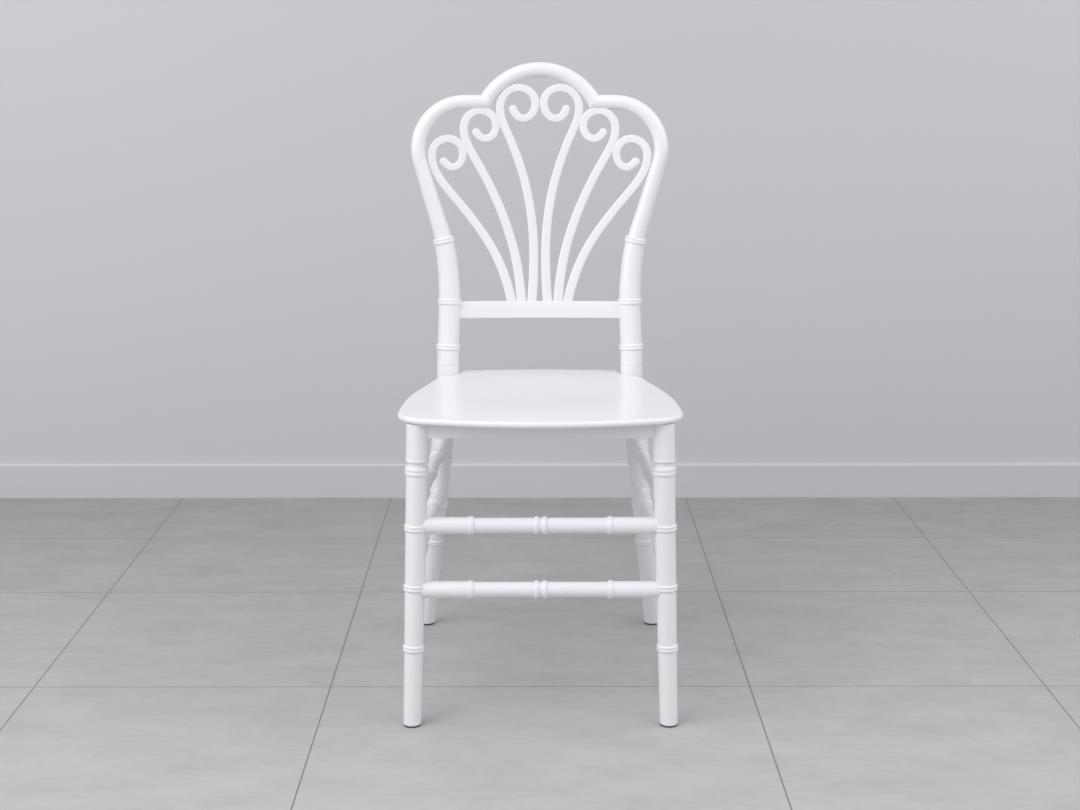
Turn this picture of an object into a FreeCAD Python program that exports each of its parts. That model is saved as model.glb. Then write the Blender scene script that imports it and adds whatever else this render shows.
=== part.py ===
import FreeCAD, Part
import math
import os

from FreeCAD import Placement, Rotation, Vector

# Banquet chair in white resin with turned bamboo style legs and a fan of scrolls in the back.
# Millimetres, Z up, the sitter faces minus Y. Heights are above the floor.
# While the pieces are made, Y is 0 at the front feet. At the end the whole chair is moved so
# that its origin lies on the floor at the middle of its outer box.

# Overall
OVERALL_HEIGHT = 920.0
LEG_TOP_HEIGHT = 457.0   # where the rear legs end and the posts of the back begin
FIT_GAP = 0.2            # play between a piece and the one it seats in or against

# Seat panel
SEAT_WIDTH = 397.0
SEAT_FRONT = -37.0       # Y of the middle of the front edge
SEAT_BACK = 382.0        # Y of the middle of the rear edge
SEAT_THICKNESS = 9.0
SEAT_RIM = ((0.0, 4.0), (3.2, 0.0), (5.6, 0.0), (7.8, 1.4), (9.0, 4.2))  # (height, inset) of the rolled rim
SEAT_DROP = 20.6         # from the top of the rear legs down to the underside, at the front feet
SEAT_TILT = 0.25         # degrees, lower at the back
SEAT_FRONT_BOW = 535.0   # plan radius of the front edge
SEAT_CORNER_INSET = 33.5 # where the front edge turns into the corner, in from the widest place
SEAT_CORNER_RUN = 50.0   # from there back to the widest place
SEAT_WAIST_INSET = 12.7  # where the sides start to draw in
SEAT_WAIST_Y = 185.0
SEAT_HIP_X = 163.4       # half width just before the posts
SEAT_HIP_Y = 285.6
NOTCH_CLEAR = 1.2        # air between the seat and a post
NOTCH_START = (25.0, 15.0)   # where the notch round a post starts, out from its side and before its front
NOTCH_MIDDLE = (12.5, 5.0)
SEAT_END_LEAD = 18.0     # where the rounding of the rear end starts, before the rear edge
SEAT_END_CORNER = (9.0, 8.0)
DISH_DEPTH = 3.0
DISH_RADIUS = 145.0
DISH_STEPS = (1.0, 0.75, 0.5, 0.25)  # shares of that radius where the slope of the dish changes
RIB_DROP = 8.0           # how far the ribs hang below the rim
RIB_WALL = 3.0
RIB_CLEAR = 8.0          # air between the block of ribs and the rails
RIB_CELLS = 3            # pockets along each side of the block of ribs
SKIN_RECESS = 2.5        # how far the pockets reach up into the panel

# Rails under the seat
APRON_HEIGHT = 21.5
APRON_WIDTH = 16.0
APRON_TENON_SIDE = 8.0   # square tenons
APRON_TENON_LENGTH = 5.0

# Front legs, with heights along them as shares of the height of the rear legs
FRONT_FOOT_INSET = 16.7  # from the widest place of the seat in to the middle of a foot
FRONT_SPLAY_SHARES = (0.0300, 0.0262)  # inward and backward run for each mm of height
LEG_FOOT_RADIUS = 12.7
FRONT_TAPER_SHARE = 0.0074  # radius gained for each mm of height
FRONT_RING_SHARES = (0.2497, 0.4418, 0.6293)
NECK_RADIUS = 13.5
NECK_LENGTH = 6.0
TOP_RING_HEIGHT = 12.5
TOP_RING_RADIUS = 16.4
SOCKET_RADIUS = 15.8
SOCKET_LENGTH = 55.4     # how far a socket hangs below the seat
SOCKET_OVERRUN = 20.0    # how far it is drawn on before the seat's underside cuts it
SOCKET_BORE = 42.0
FRONT_SPIGOT_RADIUS = 10.0
FRONT_SPIGOT_LENGTH = 35.0

# Rear legs
REAR_KNEE_SHARE = 0.744  # height where the bend starts, as a share of the whole leg
REAR_KNEE_OFFSETS = (10.0, 10.34)  # outward and backward from the foot of the post
REAR_SPLAY_SHARES = (0.1018, 0.264)
REAR_RING_SHARES = (0.3435, 0.4836, 0.6565)
REAR_BEND_STEPS = 3
REAR_LEAD = 6.0          # straight length of even thickness at each end of the bend
LEG_TOP_RADIUS = 17.2

# Rings turned on legs and posts
RING_HEIGHT = 9.5
RING_RISE = 1.9
FLANK = 0.8              # length of the slope at each side of a ring or bead

# Stretchers, with heights as shares of the height of the rear legs, at the front and at the rear
FRONT_STRETCHER_SHARES = {"upper": 0.6352, "lower": 0.4339}
SIDE_STRETCHER_SHARES = {"upper": (0.6937, 0.7079), "lower": (0.5164, 0.5295)}
REAR_STRETCHER_SHARE = 0.3939
STRETCHER_END_RADIUS = 11.75
STRETCHER_WAIST_RADIUS = 10.8
STRETCHER_BEAD_RISE = 1.7
STRETCHER_BEAD_WIDTH = 8.4
STRETCHER_PAIR_WIDTH = 7.2
STRETCHER_PAIR_OFFSET = 5.7
STRETCHER_BEAD_SHARE = 0.557  # place of the single beads between the middle and the leg
TENON_SIDE = 11.0        # square tenons
TENON_LENGTH = 8.0
TENON_ROOT = 5.0         # how far a tenon starts inside its own bar
MORTISE_OVERRUN = 20.0   # how far the tool for a hole stands out of the leg

# Feet
GLIDE_HEIGHT = 3.5
GLIDE_RADIUS = 12.4

# Back, with some heights as shares of the way from the top of the rear legs to the top of the crown
BACK_RAKE = 5.0          # degrees, leaning backwards
BACK_BOW_RADIUS = 760.0  # plan radius of the back
POST_FOOT_X = 143.3
POST_FOOT_Y = 352.9
POST_X = 140.3
POST_STRAIGHT_SHARE = 0.2180  # height that the straight lower run of a post aims at
POST_TOP_SHARE = 0.4244
POST_RING_SHARES = (0.0583, 0.1996)
POST_RADIUS = 16.3
POST_LEAD = 4.0          # length of even thickness above the bend
POST_TOP_RADIUS = 14.9
POST_SPIGOT_SIDE = 18.0  # square pegs, so that the back cannot turn
POST_SPIGOT_LENGTH = 38.0
HOOP_SPIGOT_SIDE = 12.0
HOOP_SPIGOT_LENGTH = 16.0
HOOP_ROOT_RADIUS = 13.4
HOOP_LOW_RADIUS = 12.5
HOOP_LEAD = 5.0          # length of even thickness before the shoulder bends
HOOP_RADIUS = 11.0
HOOP_LEAN = 16.5         # degrees from upright on the straight run
HOOP_RUN_SHARE = 0.4816  # where the straight run starts
POST_OUTWARD_SHARE = 0.55  # how far out to the run the top of the post has come
POST_LEAN_SHARE = 0.76   # how much of the lean it has there
SHOULDER_RADIUS = 70.0   # centre line of the round shoulder
SHOULDER_X = 116.8
SHOULDER_DROP = 22.5     # centre of the shoulder below the centre of the arch on top
CROWN_RADIUS = 96.8      # centre line of the arch on top
CROWN_TUBE_RADIUS = 11.2
CROWN_BENDS = 4          # equal bends that the arch is drawn with
MITRE_OVERRUN = 16.0     # how far both tubes are drawn on before the mitre cuts them
RAIL_TOP_SHARE = 0.2082
RAIL_HEIGHT = 26.5
RAIL_DEPTH = 15.0
RAIL_TENON_SIDE = 10.0
RAIL_TENON_LENGTH = 9.0
SCROLL_DEPTH = 12.0
SCROLL_SEAT = 6.4        # how far below the top of the rail the middle line of a scroll starts
SCROLL_TIP_TURNS = (30.0, 60.0, 80.0)  # places round the tip of a scroll, in degrees

# Each scroll as bends of its middle line, which climbs from the rail, goes over the top of the eye
# and ends in the rounded tip inside. The stem has its heights as shares of the way from the rail to
# the eye: X, share, heading in degrees and width of the bar.
SCROLL_STEMS = {
    "inner": ((12.9, 0.0, 96.0, 15.0), (9.2, 0.3064, 90.0, 14.2), (23.7, 0.7593, 75.2, 13.3)),
    "middle": ((28.0, 0.0, 86.0, 15.0), (40.1, 0.3567, 76.1, 14.2), (81.6, 0.8077, 62.9, 13.2)),
    "outer": ((42.2, 0.0, 78.0, 15.0), (72.6, 0.4611, 61.1, 13.6), (115.4, 0.7936, 51.3, 13.0)),
}

# The eye keeps its place under the crown: X, distance below the top, heading and width.
SCROLL_EYES = {
    "inner": (
        (45.0, 118.4, 67.6, 13.1),
        (61.1, 70.0, 90.0, 12.8),
        (32.8, 39.3, 180.0, 12.2),
        (6.45, 62.4, 270.0, 12.6),
        (25.2, 85.9, 360.0, 11.8),
        (41.0, 71.8, 430.0, 13.0),
    ),
    "middle": (
        (107.2, 133.3, 61.9, 13.1),
        (117.0, 101.0, 90.0, 12.8),
        (91.3, 73.7, 180.0, 12.2),
        (67.3, 96.6, 270.0, 12.6),
        (83.8, 116.4, 360.0, 11.8),
        (98.0, 106.5, 415.0, 12.4),
    ),
    "outer": (
        (146.8, 186.5, 52.7, 12.6),
        (165.9, 141.4, 90.0, 12.6),
        (141.4, 116.2, 180.0, 12.2),
        (118.4, 138.5, 270.0, 12.2),
        (134.0, 159.4, 360.0, 11.8),
        (148.0, 150.5, 400.0, 12.4),
    ),
}

# Heights that follow from these
SEAT_UNDERSIDE = LEG_TOP_HEIGHT - SEAT_DROP
SOCKET_BOTTOM = SEAT_UNDERSIDE - SOCKET_LENGTH
REAR_KNEE_HEIGHT = LEG_TOP_HEIGHT * REAR_KNEE_SHARE

UP = Vector(0, 0, 1)
FAR = 1000.0             # larger than the chair, for cutting blocks
TUBE_STEP = 15.0         # degrees of a bend that one straight length of a tube covers
SCROLL_STEP = 20.0       # the same for the flat bars of the scrolls


# Small helpers

def mirrored(shape):
    """The same piece on the other side of the chair."""
    return shape.mirror(Vector(0, 0, 0), Vector(1, 0, 0))


def placed(shape, placement):
    """A copy of the shape, moved from a local frame into the chair's frame."""
    copy = shape.copy()
    copy.Placement = placement.multiply(copy.Placement)
    return copy


def cylinder(start, direction, radius, length):
    """A round bar from start along direction."""
    return Part.makeCylinder(radius, length, start, direction)


def square_bar(start, direction, side, length):
    """A square bar from start along direction."""
    bar = Part.makeBox(length, side, side, Vector(0, -side / 2, -side / 2))
    return placed(bar, Placement(start, Rotation(Vector(1, 0, 0), direction)))


def turned(profile, start, direction, grow=0.0):
    """A lathe piece: profile lists (distance along the axis, radius)."""
    points = [Vector(0, 0, profile[0][0])]
    points += [Vector(radius + grow, 0, along) for along, radius in profile]
    points.append(Vector(0, 0, profile[-1][0]))
    points.append(points[0])
    solid = Part.Face(Part.makePolygon(points)).revolve(Vector(0, 0, 0), UP, 360)
    return placed(solid, Placement(start, Rotation(UP, direction)))


def half_space(point, normal):
    """A big block on the side of the plane that the normal points to."""
    block = Part.makeBox(2 * FAR, 2 * FAR, FAR, Vector(-FAR, -FAR, 0))
    return placed(block, Placement(point, Rotation(UP, normal)))


def ring(middle, radius_at, height=RING_HEIGHT, rise=RING_RISE):
    """Profile points of a raised ring turned on a shaft."""
    half = height / 2
    return [
        (middle - half, radius_at(middle - half)),
        (middle - half + FLANK, radius_at(middle) + rise),
        (middle + half - FLANK, radius_at(middle) + rise),
        (middle + half, radius_at(middle + half)),
    ]


# Curves given by bends

def handle_length(start, end):
    """Length of the control arms that make a bend between two headings round."""
    turn = math.radians(end[2] - start[2])
    chord = math.hypot(end[0] - start[0], end[1] - start[1])
    return chord / (3 * math.cos(turn / 4) ** 2)


def bend_poles(start, end):
    """Control points of the curve between two bends (across, up, heading)."""
    arm = handle_length(start, end)
    out = math.radians(start[2])
    back = math.radians(end[2])
    return [
        (start[0], start[1]),
        (start[0] + arm * math.cos(out), start[1] + arm * math.sin(out)),
        (end[0] - arm * math.cos(back), end[1] - arm * math.sin(back)),
        (end[0], end[1]),
    ]


def bezier_at(poles, t):
    """Point of a cubic curve, for plain pairs and for vectors alike."""
    weights = ((1 - t) ** 3, 3 * t * (1 - t) ** 2, 3 * t * t * (1 - t), t ** 3)
    size = len(poles[0])
    return tuple(sum(w * p[i] for w, p in zip(weights, poles)) for i in range(size))


def bend_edge(start, end, to_space):
    """One edge between two bends, laid into space by to_space(across, up)."""
    curve = Part.BezierCurve()
    curve.setPoles([to_space(*pole) for pole in bend_poles(start, end)])
    return curve.toShape()


def tube(centres, radius):
    """A bent tube as straight lengths, mitred where they meet."""
    ways = [(end - start).normalize() for start, end in zip(centres, centres[1:])]
    lengths = []
    for index, way in enumerate(ways):
        start, end = centres[index], centres[index + 1]
        bar = cylinder(start - way * radius, way, radius, (end - start).Length + 2 * radius)
        start_cut = way + ways[max(index - 1, 0)]
        end_cut = way + ways[min(index + 1, len(ways) - 1)]
        lengths.append(bar.cut([half_space(start, start_cut * -1), half_space(end, end_cut)]))
    return lengths[0].fuse(lengths[1:]).removeSplitter()


def tapered_length(start, end, start_way, end_way, start_radius, end_radius):
    """A short tapering length between two round sections that need not be parallel."""
    sections = []
    for centre, way, radius in ((start, start_way, start_radius), (end, end_way, end_radius)):
        across = Vector(0, 1, 0).cross(way)
        section = Part.makeCircle(radius)
        section.Placement = Placement(centre, Rotation(across, way.cross(across), way, "ZXY"))
        sections.append(Part.Wire(section))
    return Part.makeLoft(sections, True, True)


def bend_steps(start, end, step):
    """Number of straight lengths that stand for the bend between two headings."""
    return max(1, round(abs(end[2] - start[2]) / step))


# Places of the legs, the seat and the back

def leg_heights(shares):
    """Heights on a leg, given as shares of the height of the rear legs."""
    return [LEG_TOP_HEIGHT * share for share in shares]


def back_height(share):
    """Height on the back, given as a share of the way from the rear legs to the top."""
    return LEG_TOP_HEIGHT + (OVERALL_HEIGHT - LEG_TOP_HEIGHT) * share


def front_leg_axis(height):
    """Point on the middle line of the front leg at plus X."""
    inward, backward = FRONT_SPLAY_SHARES
    return Vector(SEAT_WIDTH / 2 - FRONT_FOOT_INSET - inward * height, backward * height, height)


def front_leg_direction():
    return (front_leg_axis(1.0) - front_leg_axis(0.0)).normalize()


def joint_radius(along, joints, taper):
    """Radius of a leg that is a plain cylinder between its rings and steps out under each ring."""
    for low, high in zip(joints, joints[1:]):
        if along < high:
            break
    return taper((low + high) / 2)


def front_leg_joints():
    """Distances along the front leg where its thickness steps."""
    scale = 1 / front_leg_direction().z
    return [height * scale for height in [0.0] + leg_heights(FRONT_RING_SHARES) + [SOCKET_BOTTOM]]


def front_leg_radius(along):
    return joint_radius(along, front_leg_joints(), lambda at: LEG_FOOT_RADIUS + FRONT_TAPER_SHARE * at)


def rear_leg_straight(height):
    """Point on the straight lower run of the rear leg at plus X."""
    out, back = REAR_KNEE_OFFSETS
    splay_x, splay_y = REAR_SPLAY_SHARES
    below = REAR_KNEE_HEIGHT - height
    return Vector(POST_FOOT_X + out + splay_x * below, POST_FOOT_Y + back + splay_y * below, height)


def rear_leg_direction():
    return (rear_leg_straight(1.0) - rear_leg_straight(0.0)).normalize()


def rear_leg_taper_length():
    """Length of the straight taper, from the floor to just below the bend."""
    return REAR_KNEE_HEIGHT / rear_leg_direction().z - REAR_LEAD


def rear_leg_joints():
    """Distances along the rear leg where its thickness steps."""
    scale = 1 / rear_leg_direction().z
    return [height * scale for height in [0.0] + leg_heights(REAR_RING_SHARES)] + [rear_leg_taper_length()]


def rear_leg_radius(along):
    joints = rear_leg_joints()
    if along >= joints[-2]:
        return LEG_TOP_RADIUS
    gain = (LEG_TOP_RADIUS - LEG_FOOT_RADIUS) / joints[-1]
    return joint_radius(along, joints, lambda at: LEG_FOOT_RADIUS + gain * at)


def back_up():
    """Direction of the raked back."""
    rake = math.radians(BACK_RAKE)
    return Vector(0, math.sin(rake), math.cos(rake))


def rear_leg_bend_poles():
    """Control points of the bend that turns the rear leg upright into the post."""
    start = rear_leg_straight(REAR_KNEE_HEIGHT)
    end = Vector(POST_FOOT_X, POST_FOOT_Y, LEG_TOP_HEIGHT) - back_up() * REAR_LEAD
    arm = (end - start).Length / 3
    return [start, start + rear_leg_direction() * arm, end - back_up() * arm, end]


def rear_leg_axis(height):
    """Point on the whole middle line of the rear leg at plus X."""
    if height <= REAR_KNEE_HEIGHT:
        return rear_leg_straight(height)
    poles = rear_leg_bend_poles()
    low, high = 0.0, 1.0
    for _ in range(30):
        t = (low + high) / 2
        if bezier_at(poles, t)[2] < height:
            low = t
        else:
            high = t
    return Vector(*bezier_at(poles, t))


SEAT_FRAME = Placement(Vector(0, 0, SEAT_UNDERSIDE), Rotation(Vector(1, 0, 0), -SEAT_TILT))
BACK_FRAME = Placement(Vector(0, POST_FOOT_Y, LEG_TOP_HEIGHT), Rotation(Vector(1, 0, 0), -BACK_RAKE))


def bow(x):
    """How far the back lies behind its posts at a distance x from the middle."""
    return math.sqrt(BACK_BOW_RADIUS ** 2 - x ** 2) - math.sqrt(BACK_BOW_RADIUS ** 2 - POST_X ** 2)


def back_point(x, height):
    """Point of the curved back in the back's own frame, at a height above the floor."""
    rake = math.radians(BACK_RAKE)
    depth = bow(x)
    return Vector(x, depth, (height - LEG_TOP_HEIGHT + depth * math.sin(rake)) / math.cos(rake))


# Legs, sockets and feet

def plain_profile(joints, radius_at):
    """Profile of a leg without its rings, from below the floor upwards."""
    profile = []
    for low, high in zip([-LEG_FOOT_RADIUS] + joints[1:-1], joints[1:]):
        radius = radius_at((low + high) / 2)
        profile += [(low, radius), (high, radius)]
    return profile


def ringed_profile(joints, radius_at):
    """The same profile with a ring over each place where the thickness steps."""
    profile = [(-LEG_FOOT_RADIUS, radius_at(0.0))]
    for joint in joints[1:-1]:
        profile += ring(joint, radius_at)
    return profile


def front_leg_shaft(grow=0.0):
    """The plain shaft, for cutting what seats against it."""
    profile = plain_profile(front_leg_joints(), front_leg_radius)
    return turned(profile, front_leg_axis(0.0), front_leg_direction(), grow)


def rear_leg_shaft(grow=0.0):
    """The plain lower run of the rear leg, for cutting what seats against it."""
    profile = plain_profile(rear_leg_joints(), rear_leg_radius)
    return turned(profile, rear_leg_axis(0.0), rear_leg_direction(), grow)


def rear_leg_bend(grow=0.0):
    """The bent upper run of the rear leg."""
    poles = rear_leg_bend_poles()
    steps = [index / REAR_BEND_STEPS for index in range(REAR_BEND_STEPS + 1)]
    centres = [poles[0] - rear_leg_direction() * REAR_LEAD]
    centres += [Vector(*bezier_at(poles, t)) for t in steps]
    centres.append(poles[-1] + back_up() * REAR_LEAD)
    return tube(centres, LEG_TOP_RADIUS + grow)


def tenon(start, end, side, length, surface_radius, root=TENON_ROOT):
    """A square tenon on the bar from start to end, rooted a little way inside the bar."""
    direction = (start - end).normalize()
    return square_bar(end + direction * (surface_radius - length), direction, side, length + root)


def mortise(start, end, side, length, surface_radius):
    """The hole for that tenon in the leg round end."""
    return tenon(start, end, side + 2 * FIT_GAP, length + FIT_GAP, surface_radius, MORTISE_OVERRUN)


def foot_glide(axis):
    """The flat pad under a leg."""
    centre = axis(GLIDE_HEIGHT / 2)
    return cylinder(Vector(centre.x, centre.y, 0), UP, GLIDE_RADIUS, GLIDE_HEIGHT)


def front_leg():
    direction = front_leg_direction()
    scale = 1 / direction.z
    neck_bottom = (SOCKET_BOTTOM - NECK_LENGTH) * scale
    socket_bottom = SOCKET_BOTTOM * scale
    profile = ringed_profile(front_leg_joints(), front_leg_radius)
    profile += [
        (neck_bottom - TOP_RING_HEIGHT, front_leg_radius(neck_bottom)),
        (neck_bottom - TOP_RING_HEIGHT + FLANK, TOP_RING_RADIUS),
        (neck_bottom - FLANK, TOP_RING_RADIUS),
        (neck_bottom, NECK_RADIUS),
        (socket_bottom, NECK_RADIUS),
        (socket_bottom, FRONT_SPIGOT_RADIUS),
        (socket_bottom + FRONT_SPIGOT_LENGTH, FRONT_SPIGOT_RADIUS),
    ]
    leg = turned(profile, front_leg_axis(0.0), direction)
    leg = leg.cut(half_space(Vector(0, 0, GLIDE_HEIGHT), Vector(0, 0, -1)))
    shaft = front_leg_shaft()
    leg = leg.cut([front_stretcher_envelope(name).cut(shaft) for name in FRONT_STRETCHER_SHARES])
    for start, end in front_leg_tenons():
        leg = leg.cut(mortise(start, end, TENON_SIDE, TENON_LENGTH, front_leg_radius(end.z)))
    return leg


def front_socket():
    """The sleeve under the seat that takes the spigot of a front leg."""
    bore = cylinder(
        front_leg_axis(SOCKET_BOTTOM), front_leg_direction(), FRONT_SPIGOT_RADIUS + FIT_GAP, SOCKET_BORE
    )
    sleeve = socket_body().cut([placed(half_space(Vector(0, 0, 0), UP), SEAT_FRAME), bore])
    for start, end in socket_tenons():
        sleeve = sleeve.cut(mortise(start, end, APRON_TENON_SIDE, APRON_TENON_LENGTH, SOCKET_RADIUS))
    return sleeve


def rear_leg():
    profile = ringed_profile(rear_leg_joints(), rear_leg_radius)
    profile.append((rear_leg_taper_length(), LEG_TOP_RADIUS))
    run = turned(profile, rear_leg_axis(0.0), rear_leg_direction())
    leg = run.fuse(rear_leg_bend()).removeSplitter()
    leg = leg.cut(half_space(Vector(0, 0, GLIDE_HEIGHT), Vector(0, 0, -1)))
    for start, end in rear_leg_tenons():
        leg = leg.cut(mortise(start, end, TENON_SIDE, TENON_LENGTH, rear_leg_radius(end.z)))
    for start, end in rear_apron_tenons():
        leg = leg.cut(mortise(start, end, APRON_TENON_SIDE, APRON_TENON_LENGTH, LEG_TOP_RADIUS))
    return leg.cut(placed(post_spigot(FIT_GAP), BACK_FRAME))


# Stretchers

def stretcher_profile(length):
    """Bamboo style bar: fat ends, a bead on each side and a pair of beads in the middle."""
    half = length / 2
    lone = half * STRETCHER_BEAD_SHARE
    bead_top = STRETCHER_WAIST_RADIUS + STRETCHER_BEAD_RISE
    right = [
        (STRETCHER_PAIR_OFFSET - STRETCHER_PAIR_WIDTH / 2, STRETCHER_WAIST_RADIUS),
        (STRETCHER_PAIR_OFFSET - STRETCHER_PAIR_WIDTH / 2 + FLANK, bead_top),
        (STRETCHER_PAIR_OFFSET + STRETCHER_PAIR_WIDTH / 2 - FLANK, bead_top),
        (STRETCHER_PAIR_OFFSET + STRETCHER_PAIR_WIDTH / 2, STRETCHER_WAIST_RADIUS),
        (lone - STRETCHER_BEAD_WIDTH / 2, STRETCHER_WAIST_RADIUS),
        (lone - STRETCHER_BEAD_WIDTH / 2 + FLANK, bead_top),
        (lone + STRETCHER_BEAD_WIDTH / 2 - FLANK, bead_top),
        (lone + STRETCHER_BEAD_WIDTH / 2, STRETCHER_END_RADIUS),
        (half, STRETCHER_END_RADIUS),
    ]
    left = [(-along, radius) for along, radius in reversed(right)]
    return [(along + half, radius) for along, radius in left + right]


def front_stretcher_ends(name):
    """Where a front stretcher's middle line meets the legs' middle lines."""
    right = front_leg_axis(LEG_TOP_HEIGHT * FRONT_STRETCHER_SHARES[name])
    return Vector(-right.x, right.y, right.z), right


def side_stretcher_ends(name):
    front_height, rear_height = leg_heights(SIDE_STRETCHER_SHARES[name])
    return front_leg_axis(front_height), rear_leg_axis(rear_height)


def rear_stretcher_ends():
    right = rear_leg_axis(LEG_TOP_HEIGHT * REAR_STRETCHER_SHARE)
    return Vector(-right.x, right.y, right.z), right


def front_stretcher_envelope(name):
    """The space that a front stretcher's end takes, for the rings that stop against it."""
    start, end = front_stretcher_ends(name)
    return cylinder(start, end - start, STRETCHER_END_RADIUS + FIT_GAP, (end - start).Length)


def stretcher(ends, start_leg, end_leg, start_radius, end_radius):
    """A bar coped to both legs, with a tenon into each."""
    start, end = ends
    bar = turned(stretcher_profile((end - start).Length), start, end - start).cut([start_leg, end_leg])
    near = tenon(end, start, TENON_SIDE, TENON_LENGTH, start_radius)
    far = tenon(start, end, TENON_SIDE, TENON_LENGTH, end_radius)
    return bar.fuse([near, far]).removeSplitter()


def front_leg_tenons():
    """Start and end of each stretcher that enters the front leg at plus X."""
    pairs = [front_stretcher_ends(name) for name in FRONT_STRETCHER_SHARES]
    for name in SIDE_STRETCHER_SHARES:
        front, rear = side_stretcher_ends(name)
        pairs.append((rear, front))
    return pairs


def rear_leg_tenons():
    pairs = [side_stretcher_ends(name) for name in SIDE_STRETCHER_SHARES]
    pairs.append(rear_stretcher_ends())
    return pairs


def front_stretcher(name):
    start, end = front_stretcher_ends(name)
    right = front_leg_shaft(FIT_GAP)
    radius = front_leg_radius(end.z)
    return stretcher((start, end), mirrored(right), right, radius, radius)


def side_stretcher(name):
    front, rear = side_stretcher_ends(name)
    return stretcher(
        (front, rear),
        front_leg_shaft(FIT_GAP),
        rear_leg_shaft(FIT_GAP),
        front_leg_radius(front.z),
        rear_leg_radius(rear.z),
    )


def rear_stretcher():
    start, end = rear_stretcher_ends()
    right = rear_leg_shaft(FIT_GAP)
    radius = rear_leg_radius(end.z)
    return stretcher((start, end), mirrored(right), right, radius, radius)


# Rails under the seat

def apron_middle_height(point):
    """Middle height of the rails under the seat where they meet a leg at that point."""
    return SEAT_UNDERSIDE - APRON_HEIGHT / 2 - math.tan(math.radians(SEAT_TILT)) * point.y


def apron_front_corner():
    return front_leg_axis(apron_middle_height(front_leg_axis(SEAT_UNDERSIDE)))


def apron_rear_corner():
    return rear_leg_axis(apron_middle_height(rear_leg_axis(SEAT_UNDERSIDE)))


def front_apron_ends():
    right = apron_front_corner()
    return Vector(-right.x, right.y, right.z), right


def rear_apron_ends():
    right = apron_rear_corner()
    return Vector(-right.x, right.y, right.z), right


def side_apron_ends():
    return apron_front_corner(), apron_rear_corner()


def socket_tenons():
    front, rear = side_apron_ends()
    return [front_apron_ends(), (rear, front)]


def rear_apron_tenons():
    return [side_apron_ends(), rear_apron_ends()]


def apron_bar(ends):
    """A rail between two middle lines, its top face on the underside of the seat."""
    start, end = ends
    flat = Vector(end.x - start.x, end.y - start.y, 0)
    bar = Part.makeBox(flat.Length, APRON_WIDTH, APRON_HEIGHT, Vector(0, -APRON_WIDTH / 2, -APRON_HEIGHT))
    turn = Rotation(Vector(1, 0, 0), flat)
    bar = placed(bar, Placement(Vector(start.x, start.y, 0), turn))
    return placed(bar, SEAT_FRAME)


def apron(ends, start_post, end_post, start_radius, end_radius):
    """A rail coped to what stands at its ends, with a tenon into each."""
    start, end = ends
    bar = apron_bar(ends).cut([start_post, end_post])
    near = tenon(end, start, APRON_TENON_SIDE, APRON_TENON_LENGTH, start_radius)
    far = tenon(start, end, APRON_TENON_SIDE, APRON_TENON_LENGTH, end_radius)
    return bar.fuse([near, far]).removeSplitter()


def socket_body(grow=0.0):
    """The plain outside of a socket, for cutting what seats against it."""
    bottom = front_leg_axis(SOCKET_BOTTOM)
    return cylinder(bottom, front_leg_direction(), SOCKET_RADIUS + grow, SOCKET_LENGTH + SOCKET_OVERRUN)


def front_apron():
    right = socket_body(FIT_GAP)
    return apron(front_apron_ends(), mirrored(right), right, SOCKET_RADIUS, SOCKET_RADIUS)


def side_apron():
    return apron(
        side_apron_ends(), socket_body(FIT_GAP), rear_leg_bend(FIT_GAP), SOCKET_RADIUS, LEG_TOP_RADIUS
    )


def rear_apron():
    right = rear_leg_bend(FIT_GAP)
    return apron(rear_apron_ends(), mirrored(right), right, LEG_TOP_RADIUS, LEG_TOP_RADIUS)


# Seat

def seat_bends():
    """Bends of the right half of the seat's outline, from the front middle to the rear middle."""
    half_width = SEAT_WIDTH / 2
    corner_x = half_width - SEAT_CORNER_INSET
    corner_turn = math.asin(corner_x / SEAT_FRONT_BOW)
    corner_y = SEAT_FRONT + SEAT_FRONT_BOW * (1 - math.cos(corner_turn))
    tongue_x = POST_FOOT_X - LEG_TOP_RADIUS - NOTCH_CLEAR
    post_front = POST_FOOT_Y - LEG_TOP_RADIUS
    return [
        (0.0, SEAT_FRONT, 0.0),
        (corner_x, corner_y, math.degrees(corner_turn)),
        (half_width, corner_y + SEAT_CORNER_RUN, 90.0),
        (half_width - SEAT_WAIST_INSET, SEAT_WAIST_Y, 101.5),
        (SEAT_HIP_X, SEAT_HIP_Y, 102.5),
        (tongue_x + NOTCH_START[0], post_front - NOTCH_START[1], 130.0),
        (tongue_x + NOTCH_MIDDLE[0], post_front - NOTCH_MIDDLE[1], 150.0),
        (tongue_x, POST_FOOT_Y, 90.0),
        (tongue_x, SEAT_BACK - SEAT_END_LEAD, 90.0),
        (tongue_x - SEAT_END_CORNER[0], SEAT_BACK - SEAT_END_CORNER[1], 174.0),
        (0.0, SEAT_BACK, 180.0),
    ]


def seat_outline(height, inset):
    """The seat's outline at a height above its underside, drawn in by the inset."""
    right = []
    for x, y, heading in seat_bends():
        angle = math.radians(heading)
        right.append((x - inset * math.sin(angle), y + inset * math.cos(angle), heading))
    edges = [bend_edge(a, b, lambda x, y: Vector(x, y, height)) for a, b in zip(right, right[1:])]
    edges += [mirrored(edge) for edge in edges]
    return Part.Wire(Part.__sortEdges__(edges))


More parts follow.
